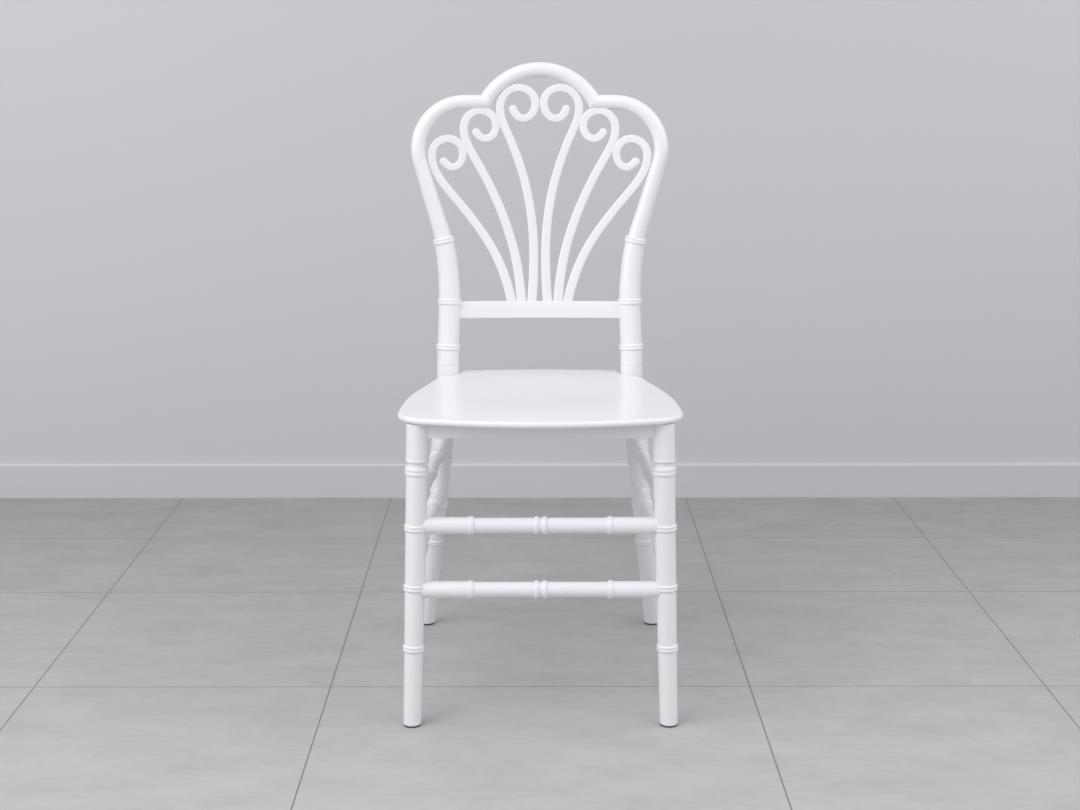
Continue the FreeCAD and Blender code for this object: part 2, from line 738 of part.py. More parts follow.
def seat_ribs():
    """The block of ribs under the seat and the pockets between them."""
    margin = APRON_WIDTH / 2 + RIB_CLEAR
    half_width = apron_rear_corner().x - margin
    front = apron_front_corner().y + margin
    back = apron_rear_corner().y - margin
    height = RIB_DROP + SKIN_RECESS
    block = Part.makeBox(2 * half_width, back - front, height, Vector(-half_width, front, -RIB_DROP))
    cell_x = (2 * half_width - RIB_WALL) / RIB_CELLS
    cell_y = (back - front - RIB_WALL) / RIB_CELLS
    pockets = []
    for column in range(RIB_CELLS):
        for row in range(RIB_CELLS):
            corner = Vector(
                -half_width + RIB_WALL + column * cell_x, front + RIB_WALL + row * cell_y, -RIB_DROP
            )
            pockets.append(Part.makeBox(cell_x - RIB_WALL, cell_y - RIB_WALL, height, corner))
    return block, pockets


def seat_panel():
    panel = Part.makeLoft([seat_outline(height, inset) for height, inset in SEAT_RIM], True, True)
    block, pockets = seat_ribs()
    panel = panel.fuse(block).removeSplitter().cut(pockets)
    dish = [(DISH_DEPTH * (1 - share ** 2), DISH_RADIUS * share) for share in DISH_STEPS]
    dish_y = (apron_front_corner().y + apron_rear_corner().y) / 2
    panel = panel.cut(turned(dish, Vector(0, dish_y, SEAT_THICKNESS), UP * -1))
    return placed(panel, SEAT_FRAME)


# Back

def side_bends():
    """Bends of the middle line from the foot of a post to the mitre under the crown."""
    lean = math.radians(HOOP_LEAN)
    shoulder_low = (
        SHOULDER_X + SHOULDER_RADIUS * math.cos(lean),
        shoulder_height() - SHOULDER_RADIUS * math.sin(lean),
        90.0 - HOOP_LEAN,
    )
    run_height = back_height(HOOP_RUN_SHARE)
    run_low_x = shoulder_low[0] - (shoulder_low[1] - run_height) * math.tan(lean)
    top_x = POST_X + (run_low_x - POST_X) * POST_OUTWARD_SHARE
    crest = shoulder_height() + SHOULDER_RADIUS
    return [
        (POST_FOOT_X, LEG_TOP_HEIGHT, 90.0),
        (POST_X, back_height(POST_STRAIGHT_SHARE), 90.0),
        (top_x, back_height(POST_TOP_SHARE), 90.0 - POST_LEAN_SHARE * HOOP_LEAN),
        (run_low_x, run_height, 90.0 - HOOP_LEAN),
        shoulder_low,
        (SHOULDER_X + SHOULDER_RADIUS, shoulder_height(), 90.0),
        (SHOULDER_X, crest, 180.0),
        (mitre_x(), crest, 180.0),
    ]


def crown_centre_height():
    return OVERALL_HEIGHT - CROWN_TUBE_RADIUS - CROWN_RADIUS


def shoulder_height():
    return crown_centre_height() - SHOULDER_DROP


def mitre_x():
    """Where the crown's middle line meets the middle line of the shoulders."""
    rise = SHOULDER_RADIUS - SHOULDER_DROP
    return math.sqrt(CROWN_RADIUS ** 2 - rise ** 2)


def back_way(x, height, heading):
    """Direction on the curved back of a line that is drawn with this heading."""
    angle = math.radians(heading)
    return (back_point(x + math.cos(angle), height + math.sin(angle)) - back_point(x, height)).normalize()


def back_run(bends):
    """Middle points of a bent bar on the curved back, along a chain of bends."""
    centres = [back_point(*bends[0][:2])]
    for start, end in zip(bends, bends[1:]):
        poles = bend_poles(start, end)
        steps = bend_steps(start, end, TUBE_STEP)
        centres += [back_point(*bezier_at(poles, index / steps)) for index in range(1, steps + 1)]
    return centres


def post_spigot(grow=0.0):
    """The peg of a post, down into the top of its rear leg."""
    foot = back_point(POST_FOOT_X, LEG_TOP_HEIGHT)
    length = POST_SPIGOT_LENGTH + TENON_ROOT + grow
    return square_bar(foot + UP * TENON_ROOT, UP * -1, POST_SPIGOT_SIDE + 2 * grow, length)


def post_top():
    """The end point of a post and its direction there."""
    end = side_bends()[2]
    return back_point(*end[:2]), back_way(*end)


def hoop_spigot(grow=0.0):
    """The peg of a hoop side, down into the top of its post."""
    top, way = post_top()
    length = HOOP_SPIGOT_LENGTH + TENON_ROOT + grow
    return square_bar(top + way * TENON_ROOT, way * -1, HOOP_SPIGOT_SIDE + 2 * grow, length)


def meeting_point(start, way, end, end_way):
    """Where the line from start along way comes nearest to the line through end."""
    normal = end_way.cross(way.cross(end_way))
    return start + way * ((end - start).dot(normal) / way.dot(normal))


def post_body(grow=0.0):
    """The post with its rings, without its peg and bore: a straight run and a tapering one, mitred."""
    low, high = (back_point(*bend[:2]) for bend in side_bends()[:2])
    top, way = post_top()
    corner = meeting_point(top, way, low, high - low)
    up = (corner - low).normalize()
    length = (corner - low).Length
    profile = [(-POST_RADIUS, POST_RADIUS)]
    for share in POST_RING_SHARES:
        place = (back_point(POST_X, back_height(share)).z - low.z) / up.z
        profile += ring(place, lambda along: POST_RADIUS)
    profile.append((length + POST_RADIUS, POST_RADIUS))
    collar_middle = (top - corner).Length - RING_HEIGHT / 2
    upper_profile = [(-POST_RADIUS, POST_RADIUS), (POST_LEAD, POST_RADIUS)]
    upper_profile += ring(collar_middle, lambda along: POST_TOP_RADIUS)
    lower = turned(profile, low, up, grow).cut([half_space(low, UP * -1), half_space(corner, up + way)])
    upper = turned(upper_profile, corner, way, grow).cut(half_space(corner, (up + way) * -1))
    return lower.fuse(upper).removeSplitter()


def back_post():
    post = post_body().fuse(post_spigot()).removeSplitter()
    return post.cut([hoop_spigot(FIT_GAP), rail_tenon(FIT_GAP)])


def mitre_plane():
    """Point and normal of the cut between a hoop side and the crown."""
    side_end = side_bends()[-1]
    crown_start = crown_bends()[0]
    return back_point(*side_end[:2]), (back_way(*side_end) + back_way(*crown_start)).normalize()


def crown_bends():
    """Bends of the crown's middle line from plus X over the top to minus X."""
    start = math.atan2(SHOULDER_RADIUS - SHOULDER_DROP, mitre_x())
    bends = []
    for index in range(CROWN_BENDS + 1):
        angle = start + (math.pi - 2 * start) * index / CROWN_BENDS
        place = (CROWN_RADIUS * math.cos(angle), crown_centre_height() + CROWN_RADIUS * math.sin(angle))
        bends.append(place + (math.degrees(angle) + 90.0,))
    return bends


def hoop_side_tube(grow=0.0):
    """The bent tube of a hoop side, run on past the mitre."""
    low, run_low, run_high = side_bends()[2:5]
    foot, start, end = (back_point(*bend[:2]) for bend in (low, run_low, run_high))
    run = end - start
    root = tapered_length(foot, start, back_way(*low), run, HOOP_ROOT_RADIUS + grow, HOOP_LOW_RADIUS + grow)
    taper_length = run.Length - HOOP_LEAD
    straight = turned([(0.0, HOOP_LOW_RADIUS), (taper_length, HOOP_RADIUS)], start, run, grow)
    shoulder = [start + run.normalize() * taper_length] + back_run(side_bends()[4:])
    shoulder[-1] += back_way(*side_bends()[-1]) * MITRE_OVERRUN
    return root.fuse([straight, tube(shoulder, HOOP_RADIUS + grow)]).removeSplitter()


def crown_tube(grow=0.0):
    """The arch on top, run on past both mitres."""
    line = back_run(crown_bends())
    line[0] += (line[0] - line[1]).normalize() * MITRE_OVERRUN
    line[-1] += (line[-1] - line[-2]).normalize() * MITRE_OVERRUN
    return tube(line, CROWN_TUBE_RADIUS + grow)


def hoop_side():
    point, normal = mitre_plane()
    return hoop_side_tube().cut(half_space(point, normal)).fuse(hoop_spigot()).removeSplitter()


def crown_arch():
    point, normal = mitre_plane()
    right_cut = half_space(point, normal * -1)
    return crown_tube().cut([right_cut, mirrored(right_cut)])


def curved_slab(depth, low, high):
    """A sheet that follows the bow of the back, between two levels of the back's own frame."""
    centre = Vector(0, bow(0) - BACK_BOW_RADIUS, low)
    outer = cylinder(centre, UP, BACK_BOW_RADIUS + depth / 2, high - low)
    inner = cylinder(centre, UP, BACK_BOW_RADIUS - depth / 2, high - low)
    return outer.cut(inner)


def rail_middle_height():
    return back_height(RAIL_TOP_SHARE) - RAIL_HEIGHT / 2


def rail_tenon(grow=0.0):
    """The square tenon of the back rail, into the post at plus X."""
    end = back_point(POST_X, rail_middle_height())
    start = back_point(POST_X / 2, rail_middle_height())
    return tenon(start, end, RAIL_TENON_SIDE + 2 * grow, RAIL_TENON_LENGTH + grow, POST_RADIUS)


def back_rail():
    """The curved rail between the posts, coped to both."""
    high = back_point(0, back_height(RAIL_TOP_SHARE)).z
    low = high - RAIL_HEIGHT
    stretch = Part.makeBox(2 * POST_X, FAR, high - low, Vector(-POST_X, -FAR / 2, low))
    stretch = stretch.cut(half_space(Vector(0, -BACK_BOW_RADIUS / 2, 0), Vector(0, -1, 0)))
    rail = curved_slab(RAIL_DEPTH, low, high).common(stretch)
    post = post_body(FIT_GAP)
    rail = rail.cut([post, mirrored(post)])
    peg = rail_tenon()
    return rail.fuse([peg, mirrored(peg)]).removeSplitter()


def scroll_section(x, height, heading, width, depth):
    """The rectangle across a scroll bar at one place."""
    angle = math.radians(heading)
    reach = Vector(math.sin(angle), -math.cos(angle), 0) * (width / 2)
    inner = back_point(x - reach.x, height - reach.y)
    outer = back_point(x + reach.x, height + reach.y)
    half = Vector(0, depth / 2, 0)
    return Part.makePolygon([inner - half, outer - half, outer + half, inner + half, inner - half])


def scroll_bends(name):
    """Bends of a scroll's middle line, from inside the rail to the tip."""
    eye = [(x, OVERALL_HEIGHT - drop, heading, width) for x, drop, heading, width in SCROLL_EYES[name]]
    low = back_height(RAIL_TOP_SHARE) - SCROLL_SEAT
    reach = eye[0][1] - low
    stem = [(x, low + reach * share, heading, width) for x, share, heading, width in SCROLL_STEMS[name]]
    return stem + eye


def scroll_places(name):
    """Places along a scroll's middle line, ending in the narrowing sections of its round tip."""
    bends = scroll_bends(name)
    places = [bends[0]]
    for start, end in zip(bends, bends[1:]):
        poles = bend_poles(start, end)
        steps = bend_steps(start, end, SCROLL_STEP)
        for index in range(1, steps + 1):
            share = index / steps
            heading = start[2] + (end[2] - start[2]) * share
            width = start[3] + (end[3] - start[3]) * share
            places.append(bezier_at(poles, share) + (heading, width))
    x, height, heading, width = bends[-1]
    way = math.radians(heading)
    for turn in SCROLL_TIP_TURNS:
        ahead = width / 2 * math.sin(math.radians(turn))
        narrow = width * math.cos(math.radians(turn))
        places.append((x + ahead * math.cos(way), height + ahead * math.sin(way), heading, narrow))
    return places


def scroll_bar(name, depth, grow=0.0):
    """The whole scroll as a flat bar that follows the bow of the back."""
    sections = []
    for x, height, heading, width in scroll_places(name):
        sections.append(scroll_section(x, height, heading, width + 2 * grow, depth))
    return Part.makeLoft(sections, True, True)


def scroll(name, neighbours):
    """One scroll bar, coped to the rail, to the tubes around it and to the bars beside it."""
    bar = scroll_bar(name, SCROLL_DEPTH)
    for other in neighbours:
        bar = bar.cut(scroll_bar(other, 2 * SCROLL_DEPTH, FIT_GAP))
    rail_top = back_point(0, back_height(RAIL_TOP_SHARE)).z
    bar = bar.cut(half_space(Vector(0, 0, rail_top), UP * -1))
    bar = bar.cut([hoop_side_tube(FIT_GAP), crown_tube(FIT_GAP)])
    return max(bar.Solids, key=lambda solid: solid.Volume)


# The whole chair

def chair_parts():
    """Every piece by its name, each as a list of solids."""
    pairs = {
        "front_leg": front_leg(),
        "front_socket": front_socket(),
        "rear_leg": rear_leg(),
        "side_apron": side_apron(),
        "back_post": placed(back_post(), BACK_FRAME),
        "hoop_side": placed(hoop_side(), BACK_FRAME),
        "scroll_inner": placed(scroll("inner", []), BACK_FRAME),
        "scroll_middle": placed(scroll("middle", ["inner"]), BACK_FRAME),
        "scroll_outer": placed(scroll("outer", ["middle"]), BACK_FRAME),
    }
    for name in SIDE_STRETCHER_SHARES:
        pairs["side_stretcher_" + name] = side_stretcher(name)
    parts = {}
    for name, shape in pairs.items():
        parts[name + "_right"] = [shape]
        parts[name + "_left"] = [mirrored(shape)]
    for name in FRONT_STRETCHER_SHARES:
        parts["front_stretcher_" + name] = [front_stretcher(name)]
    parts["rear_stretcher"] = [rear_stretcher()]
    glides = [foot_glide(front_leg_axis), foot_glide(rear_leg_axis)]
    parts["foot_glides"] = glides + [mirrored(glide) for glide in glides]
    parts["seat_panel"] = [seat_panel()]
    parts["front_apron"] = [front_apron()]
    parts["rear_apron"] = [rear_apron()]
    parts["back_rail"] = [placed(back_rail(), BACK_FRAME)]
    parts["crown_arch"] = [placed(crown_arch(), BACK_FRAME)]
    return parts


def export(parts):
    """Moves the chair onto its origin and writes one file for each piece."""
    os.makedirs("parts", exist_ok=True)
    outermost = parts["seat_panel"] + parts["foot_glides"]
    boxes = [shape.BoundBox for shape in outermost]
    middle = (min(box.YMin for box in boxes) + max(box.YMax for box in boxes)) / 2
    shift = Placement(Vector(0, -middle, 0), Rotation())
    for name, shapes in sorted(parts.items()):
        shapes = [placed(shape, shift) for shape in shapes]
        whole = shapes[0] if len(shapes) == 1 else Part.makeCompound(shapes)
        whole.exportStep("parts/" + name + ".step")


export(chair_parts())
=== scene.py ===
"""White resin banquet chair with a scroll back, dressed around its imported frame.

The chair's sizes are the maker's millimetres, with Y at zero on the front feet, until a mesh is
finished. The studio's sizes are the frame's metres.
"""

import logging
import math
from dataclasses import dataclass, field, replace
from enum import Enum
from typing import Callable, Iterable, Sequence

import bmesh
import bpy
from mathutils import Matrix, Vector


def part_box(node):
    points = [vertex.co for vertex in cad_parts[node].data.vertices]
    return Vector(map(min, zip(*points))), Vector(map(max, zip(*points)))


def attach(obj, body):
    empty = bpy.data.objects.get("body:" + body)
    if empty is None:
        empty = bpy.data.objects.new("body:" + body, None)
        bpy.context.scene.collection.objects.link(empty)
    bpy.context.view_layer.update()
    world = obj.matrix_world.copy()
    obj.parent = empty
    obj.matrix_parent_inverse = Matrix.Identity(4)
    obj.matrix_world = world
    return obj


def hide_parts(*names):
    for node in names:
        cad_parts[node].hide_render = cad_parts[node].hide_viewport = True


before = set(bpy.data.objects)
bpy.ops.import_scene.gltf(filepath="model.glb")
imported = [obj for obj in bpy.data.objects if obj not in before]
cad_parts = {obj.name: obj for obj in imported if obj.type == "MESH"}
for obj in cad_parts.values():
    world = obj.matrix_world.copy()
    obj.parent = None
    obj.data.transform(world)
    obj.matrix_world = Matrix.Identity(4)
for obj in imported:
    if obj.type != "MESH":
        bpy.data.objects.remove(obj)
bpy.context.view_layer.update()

LOG = logging.getLogger("chair")
BODY = "root"
MM = 0.001
UP = Vector((0.0, 0.0, 1.0))
SIDEWAYS = Vector((1.0, 0.0, 0.0))
REARWARDS = Vector((0.0, 1.0, 0.0))
MIRROR = Vector((-1.0, 1.0, 1.0))
RING_SIZE = (9.5, 1.9)      # height and rise of the rings on legs and posts
PAIR_SHARE = 0.54           # width of one bead of a pair, as a share of the whole pair
STEEP = 0.7                 # share of a direction along Y past which a bar runs to the rear
PLAY = 0.01                 # how far past a bar's ends a section may be asked for
WELD_GAP = 2e-6             # metres within which points are one
Pair = tuple[float, float]
Triple = tuple[float, float, float]
Colour = tuple[float, float, float, float]
Outline = list[Pair]
Rings = list[list[Vector]]
Plane = tuple[Vector, Vector]
Inputs = Sequence["Wire | float"] | dict[str | int, object]


class Side(Enum):
    """The two halves of the chair, as seen in the photograph."""

    RIGHT = 1.0
    LEFT = -1.0

    @property
    def tag(self) -> str:
        """The word that the frame's node names use."""
        return self.name.lower()

    @property
    def flip(self) -> Vector:
        """What a place at plus X is multiplied by to stand on this side."""
        return Vector((self.value, 1.0, 1.0))


class Level(Enum):
    """The two rows of stretchers."""

    UPPER = "upper"
    LOWER = "lower"


class Slot(Enum):
    """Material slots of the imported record."""

    RESIN = "resin"
    PAD = "pad"


# Curves


@dataclass(frozen=True)
class Bend:
    """A place on a drawn line, with its heading there."""

    x: float
    height: float
    heading: float  # of the line in degrees, 90 being straight up
    width: float = 0.0

    @property
    def spot(self) -> Vector:
        """The place as a flat point."""
        return Vector((self.x, self.height))

    @property
    def way(self) -> Vector:
        """The heading as a flat direction."""
        return flat_way(math.radians(self.heading))

    def moved(self, x: float, height: float) -> "Bend":
        """The bend, measured from another place."""
        return replace(self, x=self.x + x, height=self.height + height)


def flat_way(angle: float) -> Vector:
    """Flat direction at an angle in radians."""
    return Vector((math.cos(angle), math.sin(angle)))


def quarter_turn(steps: int) -> list[float]:
    """Angles of a quarter turn, in radians, at the ends of equal steps."""
    return [math.pi / 2 * step / steps for step in range(steps + 1)]


def cubic(poles: Sequence[Vector], share: float) -> Vector:
    """Point of a cubic curve.

    Args:
        poles: its four control points.
        share: how far along it the point lies, from 0 to 1.

    Returns:
        The point.
    """
    rest = 1.0 - share
    weights = (rest ** 3, 3 * share * rest ** 2, 3 * share ** 2 * rest, share ** 3)
    return sum((pole * weight for pole, weight in zip(poles, weights)), poles[0] * 0.0)


def bend_poles(start: Bend, end: Bend) -> list[Vector]:
    """Control points of the round curve between two bends.

    Args:
        start: the first bend.
        end: the next one.

    Returns:
        Four flat points (x, height).
    """
    a, b = start.spot, end.spot
    turn = math.radians(end.heading) - math.radians(start.heading)
    arm = (b - a).length / (3 * math.cos(turn / 4) ** 2)
    return [a, a + start.way * arm, b - end.way * arm, b]


def curve(bends: Sequence[Bend], steps: int) -> list[Vector]:
    """Flat points along a chain of bends.

    Args:
        bends: the chain.
        steps: number of lengths between two bends.

    Returns:
        The points.
    """
    points = [bends[0].spot]
    for start, end in zip(bends, bends[1:]):
        poles = bend_poles(start, end)
        points += [cubic(poles, i / steps) for i in range(1, steps + 1)]
    return points


class Line:
    """A middle line in space, read by the distance along it."""

    def __init__(self, points: Iterable[Vector]) -> None:
        """Stores the points and works out the distances and directions at them.

        Args:
            points: points along the line, close together where it bends.
        """
        self.points = [point.copy() for point in points]
        self.marks = [0.0]
        for a, b in zip(self.points, self.points[1:]):
            self.marks.append(self.marks[-1] + (b - a).length)
        ends = self.points[:1] + self.points + self.points[-1:]
        self.ways = [(b - a).normalized() for a, b in zip(ends, ends[2:])]

    @property
    def length(self) -> float:
        """The whole length."""
        return self.marks[-1]

    def at(self, along: float) -> tuple[Vector, Vector]:
        """Point and direction at a distance, straight on beyond the ends.

        Args:
            along: distance from the start.

        Returns:
            The point and the unit direction.
        """
        if along <= 0.0:
            return self.points[0] + self.ways[0] * along, self.ways[0]
        if along >= self.length:
            return self.points[-1] + self.ways[-1] * (along - self.length), self.ways[-1]
        index = max(i for i, mark in enumerate(self.marks[:-1]) if mark <= along)
        share = (along - self.marks[index]) / (self.marks[index + 1] - self.marks[index])
        point = self.points[index].lerp(self.points[index + 1], share)
        return point, self.ways[index].lerp(self.ways[index + 1], share).normalized()


# Meshes


class Form:
    """A mesh in the making: rings of points that are skinned into closed shells."""

    def __init__(self, rings: Rings) -> None:
        """Starts a form with one shell.

        Args:
            rings: the shell's rings, in order along it.
        """
        self.verts: list[Vector] = []
        self.faces: list[tuple[int, ...]] = []
        self.skin(rings)

    def skin(self, rings: Rings) -> None:
        """Adds a closed shell through rings of equal size, capped at both ends.

        Args:
            rings: the rings, in order along the shell.
        """
        count, base = len(rings[0]), len(self.verts)
        for ring in rings:
            self.verts += ring
        top = len(self.verts) - count
        for low in range(base, top, count):
            for k in range(count):
                after = (k + 1) % count
                self.faces.append((low + k, low + after, low + count + after, low + count + k))
        self.faces += [tuple(reversed(range(base, base + count))), tuple(range(top, top + count))]

    def flipped(self, side: Side) -> "Form":
        """The form, mirrored where it stands on the left."""
        self.verts = [place * side.flip for place in self.verts]
        return self


@dataclass(frozen=True)
class Workshop:
    """Where forms become dressed pieces of the frame."""

    y_shift: float  # distance that the front feet lie behind the frame's origin, in millimetres
    finishes: dict[Slot, bpy.types.Material]

    def to_frame(self, point: Vector) -> Vector:
        """A point in the frame's metres."""
        return Vector((point.x, point.y + self.y_shift, point.z)) * MM

    @staticmethod
    def place(name: str, mesh: bpy.types.Mesh, slot: Slot, sharp: float) -> bpy.types.Object:
        """Cleans a mesh and puts it in the scene, riding on the chair's one body.

        Args:
            name: name of the piece.
            mesh: its mesh, already in the frame's metres.
            slot: its material slot of the record; not used.
            sharp: edges that bend more than this many degrees stay sharp.

        Returns:
            The new object.
        """
        cleaner = bmesh.new()
        cleaner.from_mesh(mesh)
        bmesh.ops.remove_doubles(cleaner, verts=cleaner.verts, dist=WELD_GAP)
        bmesh.ops.dissolve_degenerate(cleaner, edges=cleaner.edges, dist=WELD_GAP / 2)
        bmesh.ops.recalc_face_normals(cleaner, faces=cleaner.faces)
        cleaner.to_mesh(mesh)
        cleaner.free()
        mesh.shade_smooth()
        mesh.set_sharp_from_angle(angle=math.radians(sharp))
        piece = bpy.data.objects.new(name, mesh)
        bpy.context.scene.collection.objects.link(piece)
        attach(piece, BODY)
        return piece

    def add(self, name: str, form: Form, *nodes: str, sharp: float = 35.0) -> None:
        """Makes a piece of resin of a form and puts it in place of nodes of the frame.

        Args:
            name: name of the piece.
            form: the form.
            nodes: nodes that it stands for.
            sharp: the same as in place.
        """
        mesh = bpy.data.meshes.new(name)
        mesh.from_pydata([self.to_frame(place) for place in form.verts], [], form.faces)
        piece = self.place(name, mesh, Slot.RESIN, sharp)
        piece.data.materials.append(self.finishes[Slot.RESIN])
        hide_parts(*nodes)
        LOG.info("%s stands for %s", piece.name, ", ".join(nodes))


def slide_to_plane(ring: list[Vector], way: Vector, plane: Plane) -> list[Vector]:
    """Draws back what stands beyond a plane, along the bar's own direction.

    Args:
        ring: points round the bar.
        way: direction of the bar there.
        plane: a point of the plane, and its normal towards what is drawn back.

    Returns:
        The ring, flat against the plane where it passed it.
    """
    point, normal = plane
    slope = way.dot(normal)
    depths = [(place - point).dot(normal) for place in ring]
    return [place - way * (depth / slope) if depth > 0.0 else place for place, depth in zip(ring, depths)]


@dataclass(frozen=True)
class Bead:
    """One round bead turned on a bar."""

    middle: float
    width: float
    rise: float

    def lift(self, along: float) -> float:
        """How far the bead stands out at a distance along the bar."""
        share = (along - self.middle) / (self.width / 2)
        return self.rise * math.sqrt(1.0 - share * share) if abs(share) < 1.0 else 0.0

    def marks(self, steps: int = 10) -> list[float]:
        """Places along the bar where the bead's round needs a section."""
        half = self.width / 2
        return [self.middle - half * math.cos(math.pi * i / steps) for i in range(steps + 1)]


def double_bead(middle: float, height: float, rise: float) -> list[Bead]:
    """Two beads side by side with a thin groove between them.

    Args:
        middle: place of the groove.
        height: width of both beads together.
        rise: how far they stand out.

    Returns:
        The two beads.
    """
    width = PAIR_SHARE * height
    reach = (height - width) / 2
    return [Bead(middle + way * reach, width, rise) for way in (-1, 1)]


@dataclass
class Turning:
    """A lathe-turned bar."""

    base: Outline  # distance and radius at the corners of the plain outline
    beads: list[Bead] = field(default_factory=list)
    pitch: float = 40.0  # greatest distance between two sections
    segments: int = 56

    def radius(self, along: float) -> float:
        """Radius of the bar at a place.

        Args:
            along: distance along the bar.

        Returns:
            The radius.
        """
        plain = self.base[-1][1]
        for (a, low), (b, high) in zip(self.base, self.base[1:]):
            if along <= b:
                plain = low + (high - low) * max(0.0, (along - a) / (b - a))
                break
        return plain + max((bead.lift(along) for bead in self.beads), default=0.0)

    def marks(self) -> list[float]:
        """Where the bar gets a section.

        Returns:
            Distances along it, in order.
        """
        first, last = self.base[0][0], self.base[-1][0]
        count = max(1, math.ceil((last - first) / self.pitch))
        places = [along for along, _ in self.base] + [mark for bead in self.beads for mark in bead.marks()]
        places += [first + (last - first) * i / count for i in range(count + 1)]
        single = {round(place, 4) for place in places}
        return sorted(min(max(place, first), last) for place in single if first - PLAY < place < last + PLAY)

    def rings(self, line: Line, *planes: Plane) -> Rings:
        """Rings of points round a middle line.

        Args:
            line: the middle line.
            planes: planes that cut the bar off.

        Returns:
            One ring for each section.
        """
        rings = []
        angles = [2 * math.pi * k / self.segments for k in range(self.segments)]
        for along in self.marks():
            centre, way = line.at(along)
            aside = SIDEWAYS if abs(way.y) > STEEP else REARWARDS
            across = aside.cross(way).normalized()
            up = way.cross(across)
            radius = self.radius(along)
            ring = [centre + (across * math.cos(angle) + up * math.sin(angle)) * radius for angle in angles]
            for plane in planes:
                ring = slide_to_plane(ring, way, plane)
            rings.append(ring)
        return rings


def rounded_section(width: float, depth: float, edge: float, steps: int = 5) -> list[Vector]:
    """A rectangle with rounded corners, as flat points (across, deep).

    Args:
        width: its size across.
        depth: its size from front to rear.
        edge: radius of its corners.
        steps: number of straight lengths in each corner.

    Returns:
        Points round the section.
    """
    points = []
    for quarter, (sign_x, sign_y) in enumerate(((1, 1), (-1, 1), (-1, -1), (1, -1))):
        centre = Vector((sign_x * (width / 2 - edge), sign_y * (depth / 2 - edge)))
        turns = (math.pi / 2 * (quarter + step / steps) for step in range(steps + 1))
        points += [centre + flat_way(turn) * edge for turn in turns]
    return points


# Finishes


class Wire:
    """A socket that adds Math nodes when it is reckoned with."""

    def __init__(self, graph: "Graph", socket: bpy.types.NodeSocket) -> None:
        """Wraps a socket of a graph."""
        self.graph = graph
        self.socket = socket

    def _with(self, operation: str, *values: "Wire | float") -> "Wire":
        """A Math node on values, of which this is usually one."""
        return self.graph.node("ShaderNodeMath", {"operation": operation}, values)

    def __add__(self, other: "Wire | float") -> "Wire":
        """Sum."""
        return self._with("ADD", self, other)

    __radd__ = __add__

    def __mul__(self, other: "Wire | float") -> "Wire":
        """Product."""
        return self._with("MULTIPLY", self, other)

    __rmul__ = __mul__

    def __sub__(self, other: "Wire | float") -> "Wire":
        """Difference."""
        return self._with("SUBTRACT", self, other)

    def __rsub__(self, other: float) -> "Wire":
        """Difference from a number."""
        return self._with("SUBTRACT", other, self)

    def __or__(self, other: "Wire") -> "Wire":
        """The greater of two masks."""
        return self._with("MAXIMUM", self, other)


class Graph:
    """Builds the nodes of one tree."""

    def __init__(self, tree: bpy.types.NodeTree) -> None:
        """Takes on a tree and empties it."""
        self.tree = tree
        tree.nodes.clear()

    def add(self, kind: str, settings: dict[str, object], inputs: Inputs) -> bpy.types.Node:
        """Adds any node.

        Args:
            kind: the node's type.
            settings: its properties, set first.
            inputs: values or wires of its sockets, in order or by name.

        Returns:
            The node.
        """
        made = self.tree.nodes.new(kind)
        for key, value in settings.items():
            setattr(made, key, value)
        for key, value in inputs.items() if isinstance(inputs, dict) else enumerate(inputs):
            if isinstance(value, Wire):
                self.tree.links.new(value.socket, made.inputs[key])
            else:
                made.inputs[key].default_value = value
        return made

    def node(
        self, kind: str, settings: dict[str, object] | None = None, inputs: Inputs = (), output: int | str = 0
    ) -> Wire:
        """Adds a node and hands one of its outputs back."""
        return Wire(self, self.add(kind, settings or {}, inputs).outputs[output])


class ShaderGraph(Graph):
    """Builds the nodes of a material or a world."""

    def __init__(self, owner: bpy.types.Material | bpy.types.World) -> None:
        """Takes on a new material or world.

        Args:
            owner: the material or world.
        """
        owner.use_nodes = True
        super().__init__(owner.node_tree)
        self.owner = owner

    def place(self) -> Wire:
        """Object coordinates."""
        return self.node("ShaderNodeTexCoord", output="Object")

    def noise(self, place: Wire, scale: float, detail: float, roughness: float = 0.5) -> Wire:
        """Value of a cloudy pattern, around 0.5, with a scale in waves for each metre."""
        sizes = {"Vector": place, "Scale": scale, "Detail": detail, "Roughness": roughness}
        return self.node("ShaderNodeTexNoise", {}, sizes)

    def ramp(self, wire: Wire, low: float, high: float, top: float = 1.0) -> Wire:
        """What rises from 0 to a top value while a wire goes from low to high."""
        return self.node("ShaderNodeMapRange", {"clamp": True}, [wire, low, high, 0.0, top])

    def mix(self, share: Wire, first: Wire | Colour, second: Wire | Colour, clamp: bool = True) -> Wire:
        """Two colours mixed by the share of the second."""
        settings = {"data_type": "RGBA", "clamp_factor": clamp}
        return self.node("ShaderNodeMix", settings, {"Factor": share, 6: first, 7: second}, output=2)

    def bump(self, height: Wire, strength: float, distance: float) -> Wire:
        """A normal bent by a height pattern, its distance in metres."""
        return self.node("ShaderNodeBump", {}, {"Height": height, "Strength": strength, "Distance": distance})

    def finish(self, shader: Wire) -> bpy.types.Material | bpy.types.World:
        """Ends the tree.

        Args:
            shader: the last shader.

        Returns:
            The material or world.
        """
        kind = "World" if isinstance(self.owner, bpy.types.World) else "Material"
        self.add("ShaderNodeOutput" + kind, {}, {"Surface": shader})
        return self.owner


